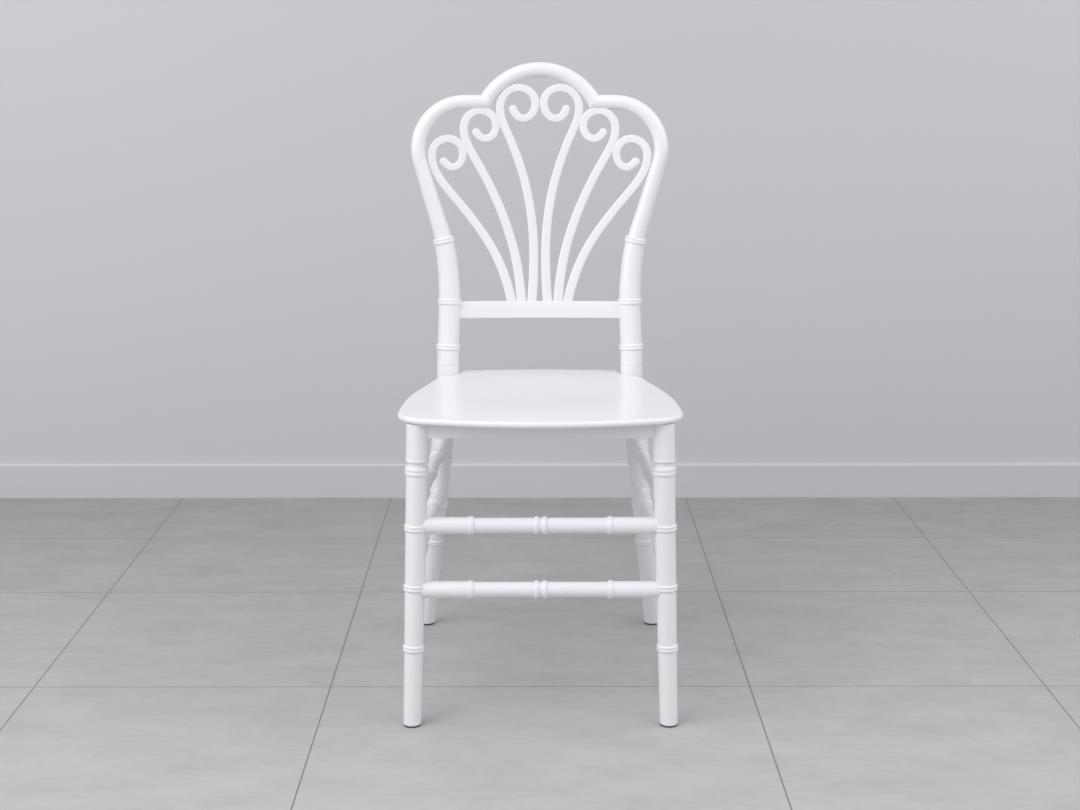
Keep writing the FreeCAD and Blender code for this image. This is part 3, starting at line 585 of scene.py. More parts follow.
@dataclass(frozen=True)
class ResinFinish:
    """Satin white moulded resin."""

    clean: Colour = (0.85, 0.858, 0.893, 1.0)
    shaded: Colour = (0.815, 0.82, 0.85, 1.0)  # where it has greyed a little
    dust: Colour = (0.62, 0.62, 0.62, 1.0)
    roughness: float = 0.30
    roughness_swing: float = 0.12
    flow_scale: float = 16.0  # slow unevenness from moulding, in waves for each metre
    smear_scale: float = 96.0
    grain_scale: float = 1500.0  # fine texture of the mould
    speck_scale: float = 375.0
    speck_share: float = 0.78  # threshold above which a dust speck shows
    speck_edge: float = 0.04
    speck_strength: float = 0.35  # how much of the resin's colour a speck covers
    smear_share: float = 0.6  # of the roughness's wandering; the rest is the flow's
    grain_share: float = 0.2  # of the relief; the rest is the flow's
    relief: Pair = (0.35, 0.00012)  # strength, and depth in metres

    def build(self) -> bpy.types.Material:
        """Makes the material.

        Returns:
            The material.
        """
        graph = ShaderGraph(bpy.data.materials.new("satin_white_resin"))
        place = graph.place()
        flow = graph.noise(place, self.flow_scale, 3.0)
        smears = graph.noise(place, self.smear_scale, 4.0)
        specks = graph.noise(place, self.speck_scale, 1.0)
        grain = graph.noise(place, self.grain_scale, 2.0)
        tone = graph.mix(flow, self.clean, self.shaded)
        speck = graph.ramp(specks, self.speck_share, self.speck_share + self.speck_edge, self.speck_strength)
        swing = smears * self.smear_share + flow * (1.0 - self.smear_share) - 0.5
        height = flow * (1.0 - self.grain_share) + grain * self.grain_share
        sockets = {
            "Base Color": graph.mix(speck, tone, self.dust),
            "Roughness": self.roughness + self.roughness_swing * swing,
            "Normal": graph.bump(height, *self.relief),
            "IOR": 1.49,
            "Coat Weight": 0.25,
            "Coat Roughness": 0.12,
        }
        return graph.finish(graph.node("ShaderNodeBsdfPrincipled", {}, sockets))


@dataclass(frozen=True)
class PadFinish:
    """Matt off-white pads under the feet, scuffed, with a dark band along the floor that is painted contact
    shadow.
    """

    clean: Colour = (0.70, 0.705, 0.715, 1.0)
    scuffed: Colour = (0.52, 0.515, 0.50, 1.0)
    # painted contact shadow: near-black colour of the lowest band of each pad
    contact_shadow: Colour = (0.05, 0.047, 0.045, 1.0)
    contact_shadow_height: float = 0.0022  # top of the painted contact shadow above the floor, in metres
    contact_shadow_edge: float = 0.0005  # height over which it fades out
    contact_shadow_swing: float = 0.001
    scuff_scale: float = 260.0  # in waves for each metre
    scuff_range: Pair = (0.5, 0.7)  # of the pattern, in which a scuff comes up
    roughness: float = 0.55
    scuff_roughness: float = 0.2
    relief: Pair = (0.4, 0.0002)  # strength, and depth in metres

    def build(self) -> bpy.types.Material:
        """Makes the material.

        Returns:
            The material.
        """
        graph = ShaderGraph(bpy.data.materials.new("matt_foot_pad"))
        place = graph.place()
        scuffs = graph.noise(place, self.scuff_scale, 5.0)
        share = graph.ramp(scuffs, *self.scuff_range)
        worn = graph.mix(share, self.clean, self.scuffed)
        # painted contact shadow: the pad is darkened below a slightly wobbling height above the floor
        height = graph.node("ShaderNodeSeparateXYZ", {}, [place], output="Z") + self.contact_shadow_swing * (scuffs - 0.5)
        above_contact_shadow = graph.ramp(height, self.contact_shadow_height, self.contact_shadow_height + self.contact_shadow_edge)
        sockets = {
            "Base Color": graph.mix(above_contact_shadow, self.contact_shadow, worn),
            "Roughness": self.roughness + self.scuff_roughness * share,
            "Normal": graph.bump(scuffs, *self.relief),
        }
        return graph.finish(graph.node("ShaderNodeBsdfPrincipled", {}, sockets))


# Sub-assemblies


@dataclass(frozen=True)
class BackShape:
    """The raked and bowed surface that carries posts, hoop and scrolls."""

    rake: float = 5.0  # backward lean in degrees
    bow_radius: float = 760.0
    post_x: float = 140.3  # of the posts' middle lines above their bend
    foot_x: float = 143.3  # of the posts' feet
    foot_y: float = 352.9
    foot_height: float = 457.0

    @property
    def foot(self) -> Vector:
        """Where the post at plus X stands on its leg."""
        return Vector((self.foot_x, self.foot_y, self.foot_height))

    @property
    def turn(self) -> Matrix:
        """The rake as a rotation."""
        return Matrix.Rotation(math.radians(-self.rake), 3, "X")

    @property
    def up(self) -> Vector:
        """Direction straight up the back."""
        return self.turn @ UP

    def bow(self, x: float) -> float:
        """How far the back lies behind its posts at a distance from the middle."""
        return math.sqrt(self.bow_radius ** 2 - x ** 2) - math.sqrt(self.bow_radius ** 2 - self.post_x ** 2)

    def drawn(self, x: float, height: float) -> Vector:
        """A point of the back in the back's own frame."""
        lean, depth = math.radians(self.rake), self.bow(x)
        return Vector((x, depth, (height - self.foot_height + depth * math.sin(lean)) / math.cos(lean)))

    def placed(self, point: Vector) -> Vector:
        """A point of the back's own frame, moved to the chair."""
        return self.turn @ point + Vector((0.0, self.foot_y, self.foot_height))

    def point(self, x: float, height: float) -> Vector:
        """A point of the back on the chair."""
        return self.placed(self.drawn(x, height))

    def way(self, bend: Bend) -> Vector:
        """Direction on the chair of a drawn line.

        Args:
            bend: a place of the line.

        Returns:
            The unit direction.
        """
        angle = math.radians(bend.heading)
        ahead = self.point(bend.x + math.cos(angle), bend.height + math.sin(angle))
        return (ahead - self.point(bend.x, bend.height)).normalized()

    def run(self, bends: Sequence[Bend], steps: int = 14) -> tuple[Line, list[float]]:
        """Middle line of a bar along a chain of bends.

        Args:
            bends: the chain.
            steps: number of lengths between two bends.

        Returns:
            The line, and the distance along it of each bend.
        """
        line = Line(self.point(*place) for place in curve(bends, steps))
        line.ways[0], line.ways[-1] = self.way(bends[0]), self.way(bends[-1])
        return line, line.marks[::steps]


@dataclass
class Legs:
    """What front and rear legs share: a straight splayed run from the floor, with rings."""

    foot_x: float  # at plus X
    foot_y: float
    splay_x: float  # drawing in for each millimetre of height
    splay_y: float  # coming forward for each millimetre of height
    ring_heights: tuple[float, ...]
    foot_radius: float = 12.7
    foot_length: float = 12.0  # over which the foot's radius holds
    pad_height: float = 3.5  # where the leg is cut level

    def axis(self, height: float) -> Vector:
        """Point of the straight run's middle line at plus X."""
        return Vector((self.foot_x - self.splay_x * height, self.foot_y - self.splay_y * height, height))

    @property
    def way(self) -> Vector:
        """Direction of that line."""
        return (self.axis(1.0) - self.axis(0.0)).normalized()

    def turned(self, line: Line, base: Outline, beads: Sequence[Bead] = (), pitch: float = 40.0) -> Form:
        """A leg turned to an outline, with its rings, cut level above its pad.

        Args:
            line: its middle line.
            base: the plain outline above the foot.
            beads: beads besides the rings.
            pitch: greatest distance between two sections.

        Returns:
            The leg.
        """
        foot = [(-self.foot_radius, self.foot_radius), (self.foot_length, self.foot_radius)]
        rings = [bead for height in self.ring_heights for bead in double_bead(height / self.way.z, *RING_SIZE)]
        turning = Turning(foot + base, [*beads, *rings], pitch)
        return Form(turning.rings(line, (UP * self.pad_height, UP * -1)))


@dataclass
class FrontLegs(Legs):
    """The two turned front legs with the sockets above them."""

    foot_x: float = 181.8
    foot_y: float = 0.0
    splay_x: float = 0.0300
    splay_y: float = -0.0262
    ring_heights: tuple[float, ...] = (114.1, 201.9, 287.6)
    taper: float = 0.0074  # growth of the radius for each millimetre of length
    neck_radius: float = 13.5
    neck_length: float = 6.8
    neck_edge: float = 0.6  # length of the slope above the neck
    top_ring: Pair = (12.5, 16.9)  # height and radius of the fat ring under the neck
    socket_bottom: float = 381.0
    socket_radius: float = 15.8
    # distance along a socket, and how far it stands out from its radius there
    socket_outline: tuple[Pair, ...] = (
        (0.0, -1.0), (0.5, 0.15), (1.2, 0.45), (2.8, 0.45), (3.6, 0.1), (5.0, 0.0),
    )
    seat_underside: float = 436.4
    socket_gap: float = 0.5  # between a socket's cut end and the underside
    sunk: Pair = (1.0, 2.0)  # how far leg and socket run on, before the cut

    def line(self, side: Side, low: float, high: float) -> Line:
        """Middle line between two heights, on either side."""
        return Line([self.axis(low) * side.flip, self.axis(high) * side.flip])

    def leg(self, side: Side) -> Form:
        """The leg from its pad to the step under the socket.

        Args:
            side: the side it stands on.

        Returns:
            The leg.
        """
        scale = 1.0 / self.way.z
        neck = (self.socket_bottom - self.neck_length) * scale
        top_height, top_radius = self.top_ring
        shoulder = neck - top_height
        radius = self.foot_radius + self.taper * shoulder
        base = [
            (shoulder, radius), (neck - self.neck_edge, radius), (neck, self.neck_radius),
            (self.socket_bottom * scale + self.sunk[0], self.neck_radius),
        ]
        beads = double_bead(neck - top_height / 2, top_height, top_radius - radius)
        return self.turned(self.line(side, 0.0, self.socket_bottom), base, beads)

    def socket(self, side: Side) -> Form:
        """The sleeve between the leg and the seat, with a slight lip.

        Args:
            side: the side it stands on.

        Returns:
            The sleeve.
        """
        length = (self.seat_underside + self.sunk[1] - self.socket_bottom) / self.way.z
        base = [(along, self.socket_radius + rise) for along, rise in self.socket_outline + ((length, 0.0),)]
        line = self.line(side, self.socket_bottom, self.seat_underside)
        ceiling = (UP * (self.seat_underside - self.socket_gap), UP)
        return Form(Turning(base).rings(line, ceiling))

    def build(self, shop: Workshop) -> None:
        """Makes both legs and both sockets.

        Args:
            shop: where the pieces are dressed and placed.
        """
        for side in Side:
            shop.add("turned_front_leg_" + side.tag, self.leg(side), "front_leg_" + side.tag)
            shop.add("seat_socket_" + side.tag, self.socket(side), "front_socket_" + side.tag)


@dataclass
class RearLegs(Legs):
    """The two raked rear legs that bend upright under the posts."""

    foot_x: float = 187.9
    foot_y: float = 453.0
    splay_x: float = 0.1018
    splay_y: float = 0.264
    ring_heights: tuple[float, ...] = (157.0, 221.0, 300.0)
    top_radius: float = 17.2
    top_edge: Pair = (0.7, 0.6)  # length and depth of the chamfer
    bend_height: float = 340.0  # where the straight run ends
    lead: float = 6.0  # straight length on both sides of the bend
    pitch: float = 9.0  # greatest distance between two sections
    back: BackShape = field(kw_only=True)

    def line(self, side: Side, steps: int = 12) -> Line:
        """The whole middle line from the floor to the post.

        Args:
            side: the side it stands on.
            steps: number of lengths in the bend.

        Returns:
            The line.
        """
        start, end = self.axis(self.bend_height), self.back.foot - self.back.up * self.lead
        arm = (end - start).length / 3
        poles = [start, start + self.way * arm, end - self.back.up * arm, end]
        points = [self.axis(0.0), self.axis(self.bend_height - self.lead)]
        points += [cubic(poles, i / steps) for i in range(steps + 1)] + [self.back.foot]
        return Line(point * side.flip for point in points)

    def leg(self, side: Side) -> Form:
        """The leg from its pad to the foot of the post.

        Args:
            side: the side it stands on.

        Returns:
            The leg.
        """
        line = self.line(side)
        chamfer, depth = self.top_edge
        base = [
            (self.bend_height / self.way.z - self.lead, self.top_radius),
            (line.length - chamfer, self.top_radius), (line.length, self.top_radius - depth),
        ]
        return self.turned(line, base, pitch=self.pitch)

    def build(self, shop: Workshop) -> None:
        """Makes both legs."""
        for side in Side:
            shop.add("turned_rear_leg_" + side.tag, self.leg(side), "rear_leg_" + side.tag)


@dataclass
class Stretchers:
    """The turned bars between the legs."""

    front_legs: FrontLegs
    rear_legs: RearLegs
    front_heights: dict[Level, float] = field(default_factory=lambda: {Level.UPPER: 290.3, Level.LOWER: 198.3})
    side_heights: dict[Level, Pair] = field(  # at the front and at the rear
        default_factory=lambda: {Level.UPPER: (317.0, 323.5), Level.LOWER: (236.0, 242.0)}
    )
    rear_height: float = 180.0
    radii: Triple = (11.75, 11.75, 10.8)  # at the ends, at the outer beads and between them
    side_radii: Triple = (12.0, 10.8, 8.9)  # the same of a side bar
    bead_size: Pair = (8.4, 2.1)  # width and rise
    side_bead_size: Pair = (6.4, 1.7)  # the same of a side bar
    pair_width: float = 7.2  # of each bead of the middle pair
    pair_offset: float = 5.7  # of these beads from the middle
    bead_share: float = 0.553  # place of the outer beads, as a share of half the bar
    sunk: float = 9.0  # from a bar's end to the leg's middle line

    def bar(self, start: Vector, end: Vector, side: bool) -> Form:
        """One bar between the middle lines of two legs.

        Args:
            start: end on one leg's middle line.
            end: end on the other's.
            side: whether it is one of the slimmer side bars.

        Returns:
            The bar, with its ends sunk in the legs.
        """
        thick, shoulder, thin = self.side_radii if side else self.radii
        width, rise = self.side_bead_size if side else self.bead_size
        length = (end - start).length
        half = length / 2
        single = half * self.bead_share
        near, far, edge = half - single, half + single, width / 2
        base = [
            (self.sunk, thick), (near - edge, shoulder), (near, thin),
            (far, thin), (far + edge, shoulder), (length - self.sunk, thick),
        ]
        beads = [Bead(place, width, rise) for place in (near, far)]
        beads += [Bead(half + reach, self.pair_width, rise) for reach in (-self.pair_offset, self.pair_offset)]
        return Form(Turning(base, beads).rings(Line([start, end])))

    def build(self, shop: Workshop) -> None:
        """Makes all seven bars.

        Args:
            shop: where the pieces are dressed and placed.
        """
        ends = {
            "front_stretcher_" + level.value: self.front_legs.axis(height)
            for level, height in self.front_heights.items()
        }
        ends["rear_stretcher"] = self.rear_legs.axis(self.rear_height)
        plans = {node: (end * MIRROR, end) for node, end in ends.items()}
        for level, (front, rear) in self.side_heights.items():
            for side in Side:
                plans["side_stretcher_%s_%s" % (level.value, side.tag)] = (
                    self.front_legs.axis(front) * side.flip, self.rear_legs.axis(rear) * side.flip,
                )
        for node, (start, end) in plans.items():
            shop.add("turned_" + node, self.bar(start, end, node.startswith("side")), node)


@dataclass
class Seat:
    """The thin seat panel with its rolled rim."""

    back: BackShape
    front_legs: FrontLegs
    rear_legs: RearLegs
    width: float = 397.0
    front_y: float = -37.0
    rear_y: float = 382.0
    thickness: float = 9.0
    top_round: float = 4.2  # radius of the rim's upper edge
    low_round: float = 4.0  # radius of its lower edge
    tilt: float = 0.25  # fall to the rear in degrees
    front_bow: float = 535.0  # plan radius of the front edge
    corner_x: float = 165.0  # where the front edge turns into a corner
    corner_run: float = 50.0
    side: tuple[Bend, ...] = (Bend(185.8, 185.0, 101.5), Bend(163.4, 285.6, 102.5))
    # from the front of the post and the side of the tongue, round the post
    notch: tuple[Bend, ...] = (Bend(25.0, -15.0, 130.0), Bend(12.5, -5.0, 150.0))
    # from the rear edge and the side of the tongue, round its corner
    tail: tuple[Bend, ...] = (Bend(0.0, -18.0, 90.0), Bend(-9.0, -8.0, 174.0))
    post_clear: float = 1.2
    dish_depth: float = 3.0
    dish_radius: float = 150.0
    # where the underside has its rings, as shares of the way to its edge
    low_shares: tuple[float, ...] = (0.02, 0.5, 0.9)
    round_steps: tuple[int, int] = (6, 8)  # number of lengths in the rim's lower and upper round
    dish_steps: int = 28  # number of rings in the dish
    dish_eye: float = 0.01  # size of the last one, as a share of the first

    @property
    def underside(self) -> float:
        """Height of the underside above the front feet."""
        return self.front_legs.seat_underside

    def to_chair(self, point: Vector) -> Vector:
        """A point of the seat's own frame, moved to the chair."""
        return Matrix.Rotation(math.radians(-self.tilt), 3, "X") @ point + UP * self.underside

    def bends(self) -> list[Bend]:
        """Outline of the right half, from the front middle to the rear middle.

        Returns:
            The bends, in which height stands for Y.
        """
        turn = math.asin(self.corner_x / self.front_bow)
        corner_y = self.front_y + self.front_bow * (1 - math.cos(turn))
        tongue_x = self.back.foot_x - self.rear_legs.top_radius - self.post_clear
        post_front = self.back.foot_y - self.rear_legs.top_radius
        return [
            Bend(0.0, self.front_y, 0.0),
            Bend(self.corner_x, corner_y, math.degrees(turn)),
            Bend(self.width / 2, corner_y + self.corner_run, 90.0),
            *self.side,
            *(bend.moved(tongue_x, post_front) for bend in self.notch),
            Bend(tongue_x, self.back.foot_y, 90.0),
            *(bend.moved(tongue_x, self.rear_y) for bend in self.tail),
            Bend(0.0, self.rear_y, 180.0),
        ]

    def outline(self, inset: float, steps: int = 12) -> list[Vector]:
        """The whole outline, drawn in by an inset.

        Args:
            inset: distance inwards.
            steps: number of lengths between two bends.

        Returns:
            Flat points round the seat.
        """
        bends = []
        for bend in self.bends():
            angle = math.radians(bend.heading)
            bends.append(bend.moved(-inset * math.sin(angle), inset * math.cos(angle)))
        right = curve(bends, steps)
        return right + [Vector((-point.x, point.y)) for point in reversed(right[1:-1])]

    def dish(self, distance: float) -> float:
        """How deep the dish is at a distance from its middle."""
        share = min(distance / self.dish_radius, 1.0)
        return self.dish_depth * (1.0 - share * share) ** 1.5

    def level(self, points: Iterable[Vector], height: float) -> list[Vector]:
        """Flat points of the seat at a height above its underside, moved to the chair."""
        return [self.to_chair(Vector((point.x, point.y, height))) for point in points]

    def panel(self) -> Form:
        """The panel as one closed shell: underside, rolled rim and dished top.

        Returns:
            The panel.
        """
        middle = Vector((0.0, (self.front_legs.axis(self.underside).y + self.back.foot_y) / 2))
        low, top = self.low_round, self.top_round
        flat, edge = self.outline(low), self.outline(top)
        rings = [self.level([middle.lerp(point, share) for point in flat], 0.0) for share in self.low_shares]
        for angle in quarter_turn(self.round_steps[0]):
            rings.append(self.level(self.outline(low * (1 - math.sin(angle))), low * (1 - math.cos(angle))))
        for angle in quarter_turn(self.round_steps[1]):
            height = self.thickness - top * (1 - math.sin(angle))
            rings.append(self.level(self.outline(top * (1 - math.cos(angle))), height))
        for step in range(1, self.dish_steps + 1):
            places = [middle.lerp(point, max(1.0 - step / self.dish_steps, self.dish_eye)) for point in edge]
            heights = [self.thickness - self.dish((place - middle).length) for place in places]
            rings.append([self.to_chair(Vector((*place, height))) for place, height in zip(places, heights)])
        return Form(rings)


@dataclass
class Aprons:
    """The rails under the seat."""

    seat: Seat
    front_legs: FrontLegs
    rear_legs: RearLegs
    size: Pair = (16.0, 21.5)  # width and height
    edge: float = 1.6
    sunk: float = 6.0  # from a rail's end to the leg's middle line

    def corner(self, axis: Callable[[float], Vector]) -> Vector:
        """Where the rails' middle line meets a leg's.

        Args:
            axis: gives the leg's middle line at a height.

        Returns:
            The place.
        """
        there = axis(self.seat.underside)
        fall = math.tan(math.radians(self.seat.tilt)) * there.y
        return axis(self.seat.underside - self.size[1] / 2 - fall)

    def corners(self) -> tuple[Vector, Vector]:
        """That place at a front and a rear leg, at plus X."""
        return self.corner(self.front_legs.axis), self.corner(self.rear_axis)

    def rear_axis(self, height: float) -> Vector:
        """Point of the rear leg's middle line at plus X, read from its bend.

        Args:
            height: height of the point.

        Returns:
            The point.
        """
        points = self.rear_legs.line(Side.RIGHT).points
        below = max(i for i, point in enumerate(points[:-1]) if point.z <= height)
        a, b = points[below], points[below + 1]
        return a.lerp(b, (height - a.z) / (b.z - a.z))

    def rail(self, start: Vector, end: Vector) -> Form:
        """One rail with rounded edges, its top on the underside of the seat.

        Args:
            start: end on one leg's middle line.
            end: end on the other's.

        Returns:
            The rail.
        """
        width, height = self.size
        a, b = (Vector((place.x, place.y, 0.0)) for place in (start, end))
        way = (b - a).normalized()
        across = way.cross(UP)
        a, b = a + way * self.sunk, b - way * self.sunk
        section = rounded_section(width, height, self.edge)
        return Form([
            [self.seat.to_chair(centre + across * p.x + UP * (p.y - height / 2)) for p in section]
            for centre in (a, a.lerp(b, 0.5), b)
        ])

    def build(self, shop: Workshop) -> None:
        """Makes the four rails.

        Args:
            shop: where the pieces are dressed and placed.
        """
        front, rear = self.corners()
        plans = {
            "front_apron": (front * MIRROR, front),
            "rear_apron": (rear * MIRROR, rear),
            "side_apron_right": (front, rear),
            "side_apron_left": (front * MIRROR, rear * MIRROR),
        }
        for node, (start, end) in plans.items():
            shop.add(node + "_rail", self.rail(start, end), node)


@dataclass
class SeatUnderside:
    """The grid of ribs under the seat, joined with the shell."""

    seat: Seat
    aprons: Aprons
    drop: float = 8.0  # height of the ribs below the underside
    wall: float = 3.0
    cells: int = 3
    clear: float = 8.0  # from a rail's face to the ribs
    sunk: float = 1.0  # how far the ribs reach into the panel
    sharp: float = 40.0  # edges of the panel that bend more than this stay sharp

    def rib(self, left: float, front: float, right: float, rear: float) -> Rings:
        """Rings of one straight rib between its four sides."""
        corners = [Vector(place) for place in ((left, front), (right, front), (right, rear), (left, rear))]
        return [self.seat.level(corners, height) for height in (-self.drop, self.sunk)]

    def build(self, shop: Workshop) -> None:
        """Makes the seat shell with its ribs as one piece.

        Args:
            shop: where the pieces are dressed and placed.
        """
        form = self.seat.panel()
        front_corner, rear_corner = self.aprons.corners()
        clear = self.aprons.size[0] / 2 + self.clear
        half, front, rear = rear_corner.x - clear, front_corner.y + clear, rear_corner.y - clear
        for step in range(self.cells + 1):
            x = -half + (2 * half - self.wall) * step / self.cells
            form.skin(self.rib(x, front, x + self.wall, rear))
            y = front + (rear - front - self.wall) * step / self.cells
            form.skin(self.rib(-half, y, half, y + self.wall))
        shop.add("seat_shell", form, "seat_panel", sharp=self.sharp)


@dataclass
class HoopedBack:
    """Posts, hoop sides, crown and rail of the back."""

    back: BackShape
    post_straight_top: float = 557.9  # where a post starts to bend out
    post_top: float = 653.5
    post_ring_heights: tuple[float, ...] = (484.0, 554.5)
    post_radii: Triple = (17.0, 16.8, 15.3)  # at the foot, the bend and the top ring
    post_top_edge: float = 0.4  # depth of the chamfer
    post_pitch: float = 6.0  # greatest distance between two sections
    hoop_radii: Triple = (13.4, 12.5, 11.0)  # at the root, a little above and further on
    hoop_pitch: float = 4.0
    hoop_lean: float = 16.5  # outwards, in degrees
    hoop_run_height: float = 680.0
    post_top_share: float = 0.55  # how far a post's top has come towards the hoop's run
    post_top_turn: float = 0.76  # how much of the lean it has
    shoulder_radius: float = 70.0
    shoulder_x: float = 116.8
    shoulder_height: float = 789.5
    overall_height: float = 920.0
    crown_radius: float = 96.8
    crown_turns: tuple[float, ...] = (60.0, 90.0, 120.0)  # bends between the mitres, in degrees
    crown_tube_radius: float = 11.2
    overrun: float = 16.0  # past a mitre, before the cut
    rail_top: float = 553.4
    rail_height: float = 26.5
    rail_depth: float = 15.0
    rail_edge: float = 2.0
    rail_sunk: float = 8.0  # from the rail's end to a post's middle line

    @property
    def crest(self) -> float:
        """Height of the shoulders' middle line at its highest."""
        return self.shoulder_height + self.shoulder_radius

    @property
    def crown_centre(self) -> float:
        """Height of the middle of the crown's arc."""
        return self.overall_height - self.crown_tube_radius - self.crown_radius

    @property
    def mitre_x(self) -> float:
        """Where the crown's middle line meets that of the shoulders."""
        return math.sqrt(self.crown_radius ** 2 - (self.crest - self.crown_centre) ** 2)

    def side_bends(self) -> list[Bend]:
        """Middle line from the foot of the right post to the mitre.

        Returns:
            Its bends.
        """
        lean = math.radians(self.hoop_lean)
        low_x = self.shoulder_x + self.shoulder_radius * math.cos(lean)
        low_height = self.shoulder_height - self.shoulder_radius * math.sin(lean)
        run_x = low_x - (low_height - self.hoop_run_height) * math.tan(lean)
        top_x = self.back.post_x + (run_x - self.back.post_x) * self.post_top_share
        return [
            Bend(self.back.foot_x, self.back.foot_height, 90.0),
            Bend(self.back.post_x, self.post_straight_top, 90.0),
            Bend(top_x, self.post_top, 90.0 - self.post_top_turn * self.hoop_lean),
            Bend(run_x, self.hoop_run_height, 90.0 - self.hoop_lean),
            Bend(low_x, low_height, 90.0 - self.hoop_lean),
            Bend(self.shoulder_x + self.shoulder_radius, self.shoulder_height, 90.0),
            Bend(self.shoulder_x, self.crest, 180.0),
            Bend(self.mitre_x, self.crest, 180.0),
        ]

    def crown_bends(self) -> list[Bend]:
        """Middle line of the crown from plus X over the top.

        Returns:
            Its bends.
        """
        start = math.degrees(math.atan2(self.crest - self.crown_centre, self.mitre_x))
        bends = []
        for turn in (start, *self.crown_turns, 180.0 - start):
            angle = math.radians(turn)
            height = self.crown_centre + math.sin(angle) * self.crown_radius
            bends.append(Bend(math.cos(angle) * self.crown_radius, height, turn + 90.0))
        return bends

    def mitre(self) -> Plane:
        """The right mitre.

        Returns:
            A point of it, and its normal towards the crown.
        """
        side_end, crown_start = self.side_bends()[-1], self.crown_bends()[0]
        normal = (self.back.way(side_end) + self.back.way(crown_start)).normalized()
        return self.back.point(side_end.x, side_end.height), normal

    def post(self) -> Form:
        """The right post with its two rings and the ring under the hoop.

        Returns:
            The post.
        """
        line, marks = self.back.run(self.side_bends()[:3])
        ring_height = RING_SIZE[0]
        foot, bend, top = self.post_radii
        base = [
            (0.0, foot), (marks[1], bend), (marks[2] - ring_height, top), (marks[2], top - self.post_top_edge),
        ]
        rise = 1.0 / math.cos(math.radians(self.back.rake))
        places = [(height - self.back.foot_height) * rise for height in self.post_ring_heights]
        places.append(marks[2] - ring_height / 2)
        beads = [bead for place in places for bead in double_bead(place, *RING_SIZE)]
        return Form(Turning(base, beads, self.post_pitch).rings(line))

    def hoop_side(self) -> Form:
        """The bent tube from the right post to the mitre.

        Returns:
            The tube.
        """
        line, marks = self.back.run(self.side_bends()[2:])
        root, low, plain = self.hoop_radii
        radii = [root, low] + [plain] * (len(marks) - 1)
        base = list(zip(marks + [marks[-1] + self.overrun], radii))
        return Form(Turning(base, pitch=self.hoop_pitch).rings(line, self.mitre()))

    def crown(self) -> Form:
        """The arch on top, cut to both mitres.

        Returns:
            The arch.
        """
        line, marks = self.back.run(self.crown_bends())
        base = [(along, self.crown_tube_radius) for along in (-self.overrun, marks[-1] + self.overrun)]
        point, normal = self.mitre()
        planes = [(point * side.flip, normal * side.flip * -1) for side in Side]
        return Form(Turning(base, pitch=self.hoop_pitch).rings(line, *planes))

    def rail(self, steps: int = 40) -> Form:
        """The curved rail between the posts.

        Args:
            steps: number of lengths in it.

        Returns:
            The rail.
        """
        low = self.back.drawn(0.0, self.rail_top - self.rail_height).z
        high = self.back.drawn(0.0, self.rail_top).z
        section = rounded_section(self.rail_depth, high - low, self.rail_edge)
        rings = []
        reach = self.back.post_x - self.rail_sunk
        for step in range(steps + 1):
            x = -reach + 2 * reach * step / steps
            centre = Vector((x, self.back.bow(x), (low + high) / 2))
            out = Vector((x, math.sqrt(self.back.bow_radius ** 2 - x ** 2), 0.0)).normalized()
            rings.append([self.back.placed(centre + out * p.x + UP * p.y) for p in section])
        return Form(rings)

    def build(self, shop: Workshop) -> None:
        """Makes the posts, the hoop, the crown and the rail.

        Args:
            shop: where the pieces are dressed and placed.
        """
        for side in Side:
            shop.add("turned_post_" + side.tag, self.post().flipped(side), "back_post_" + side.tag)
            shop.add("hoop_tube_" + side.tag, self.hoop_side().flipped(side), "hoop_side_" + side.tag)
        shop.add("crown_tube", self.crown(), "crown_arch")
        shop.add("back_rail_bar", self.rail(), "back_rail")


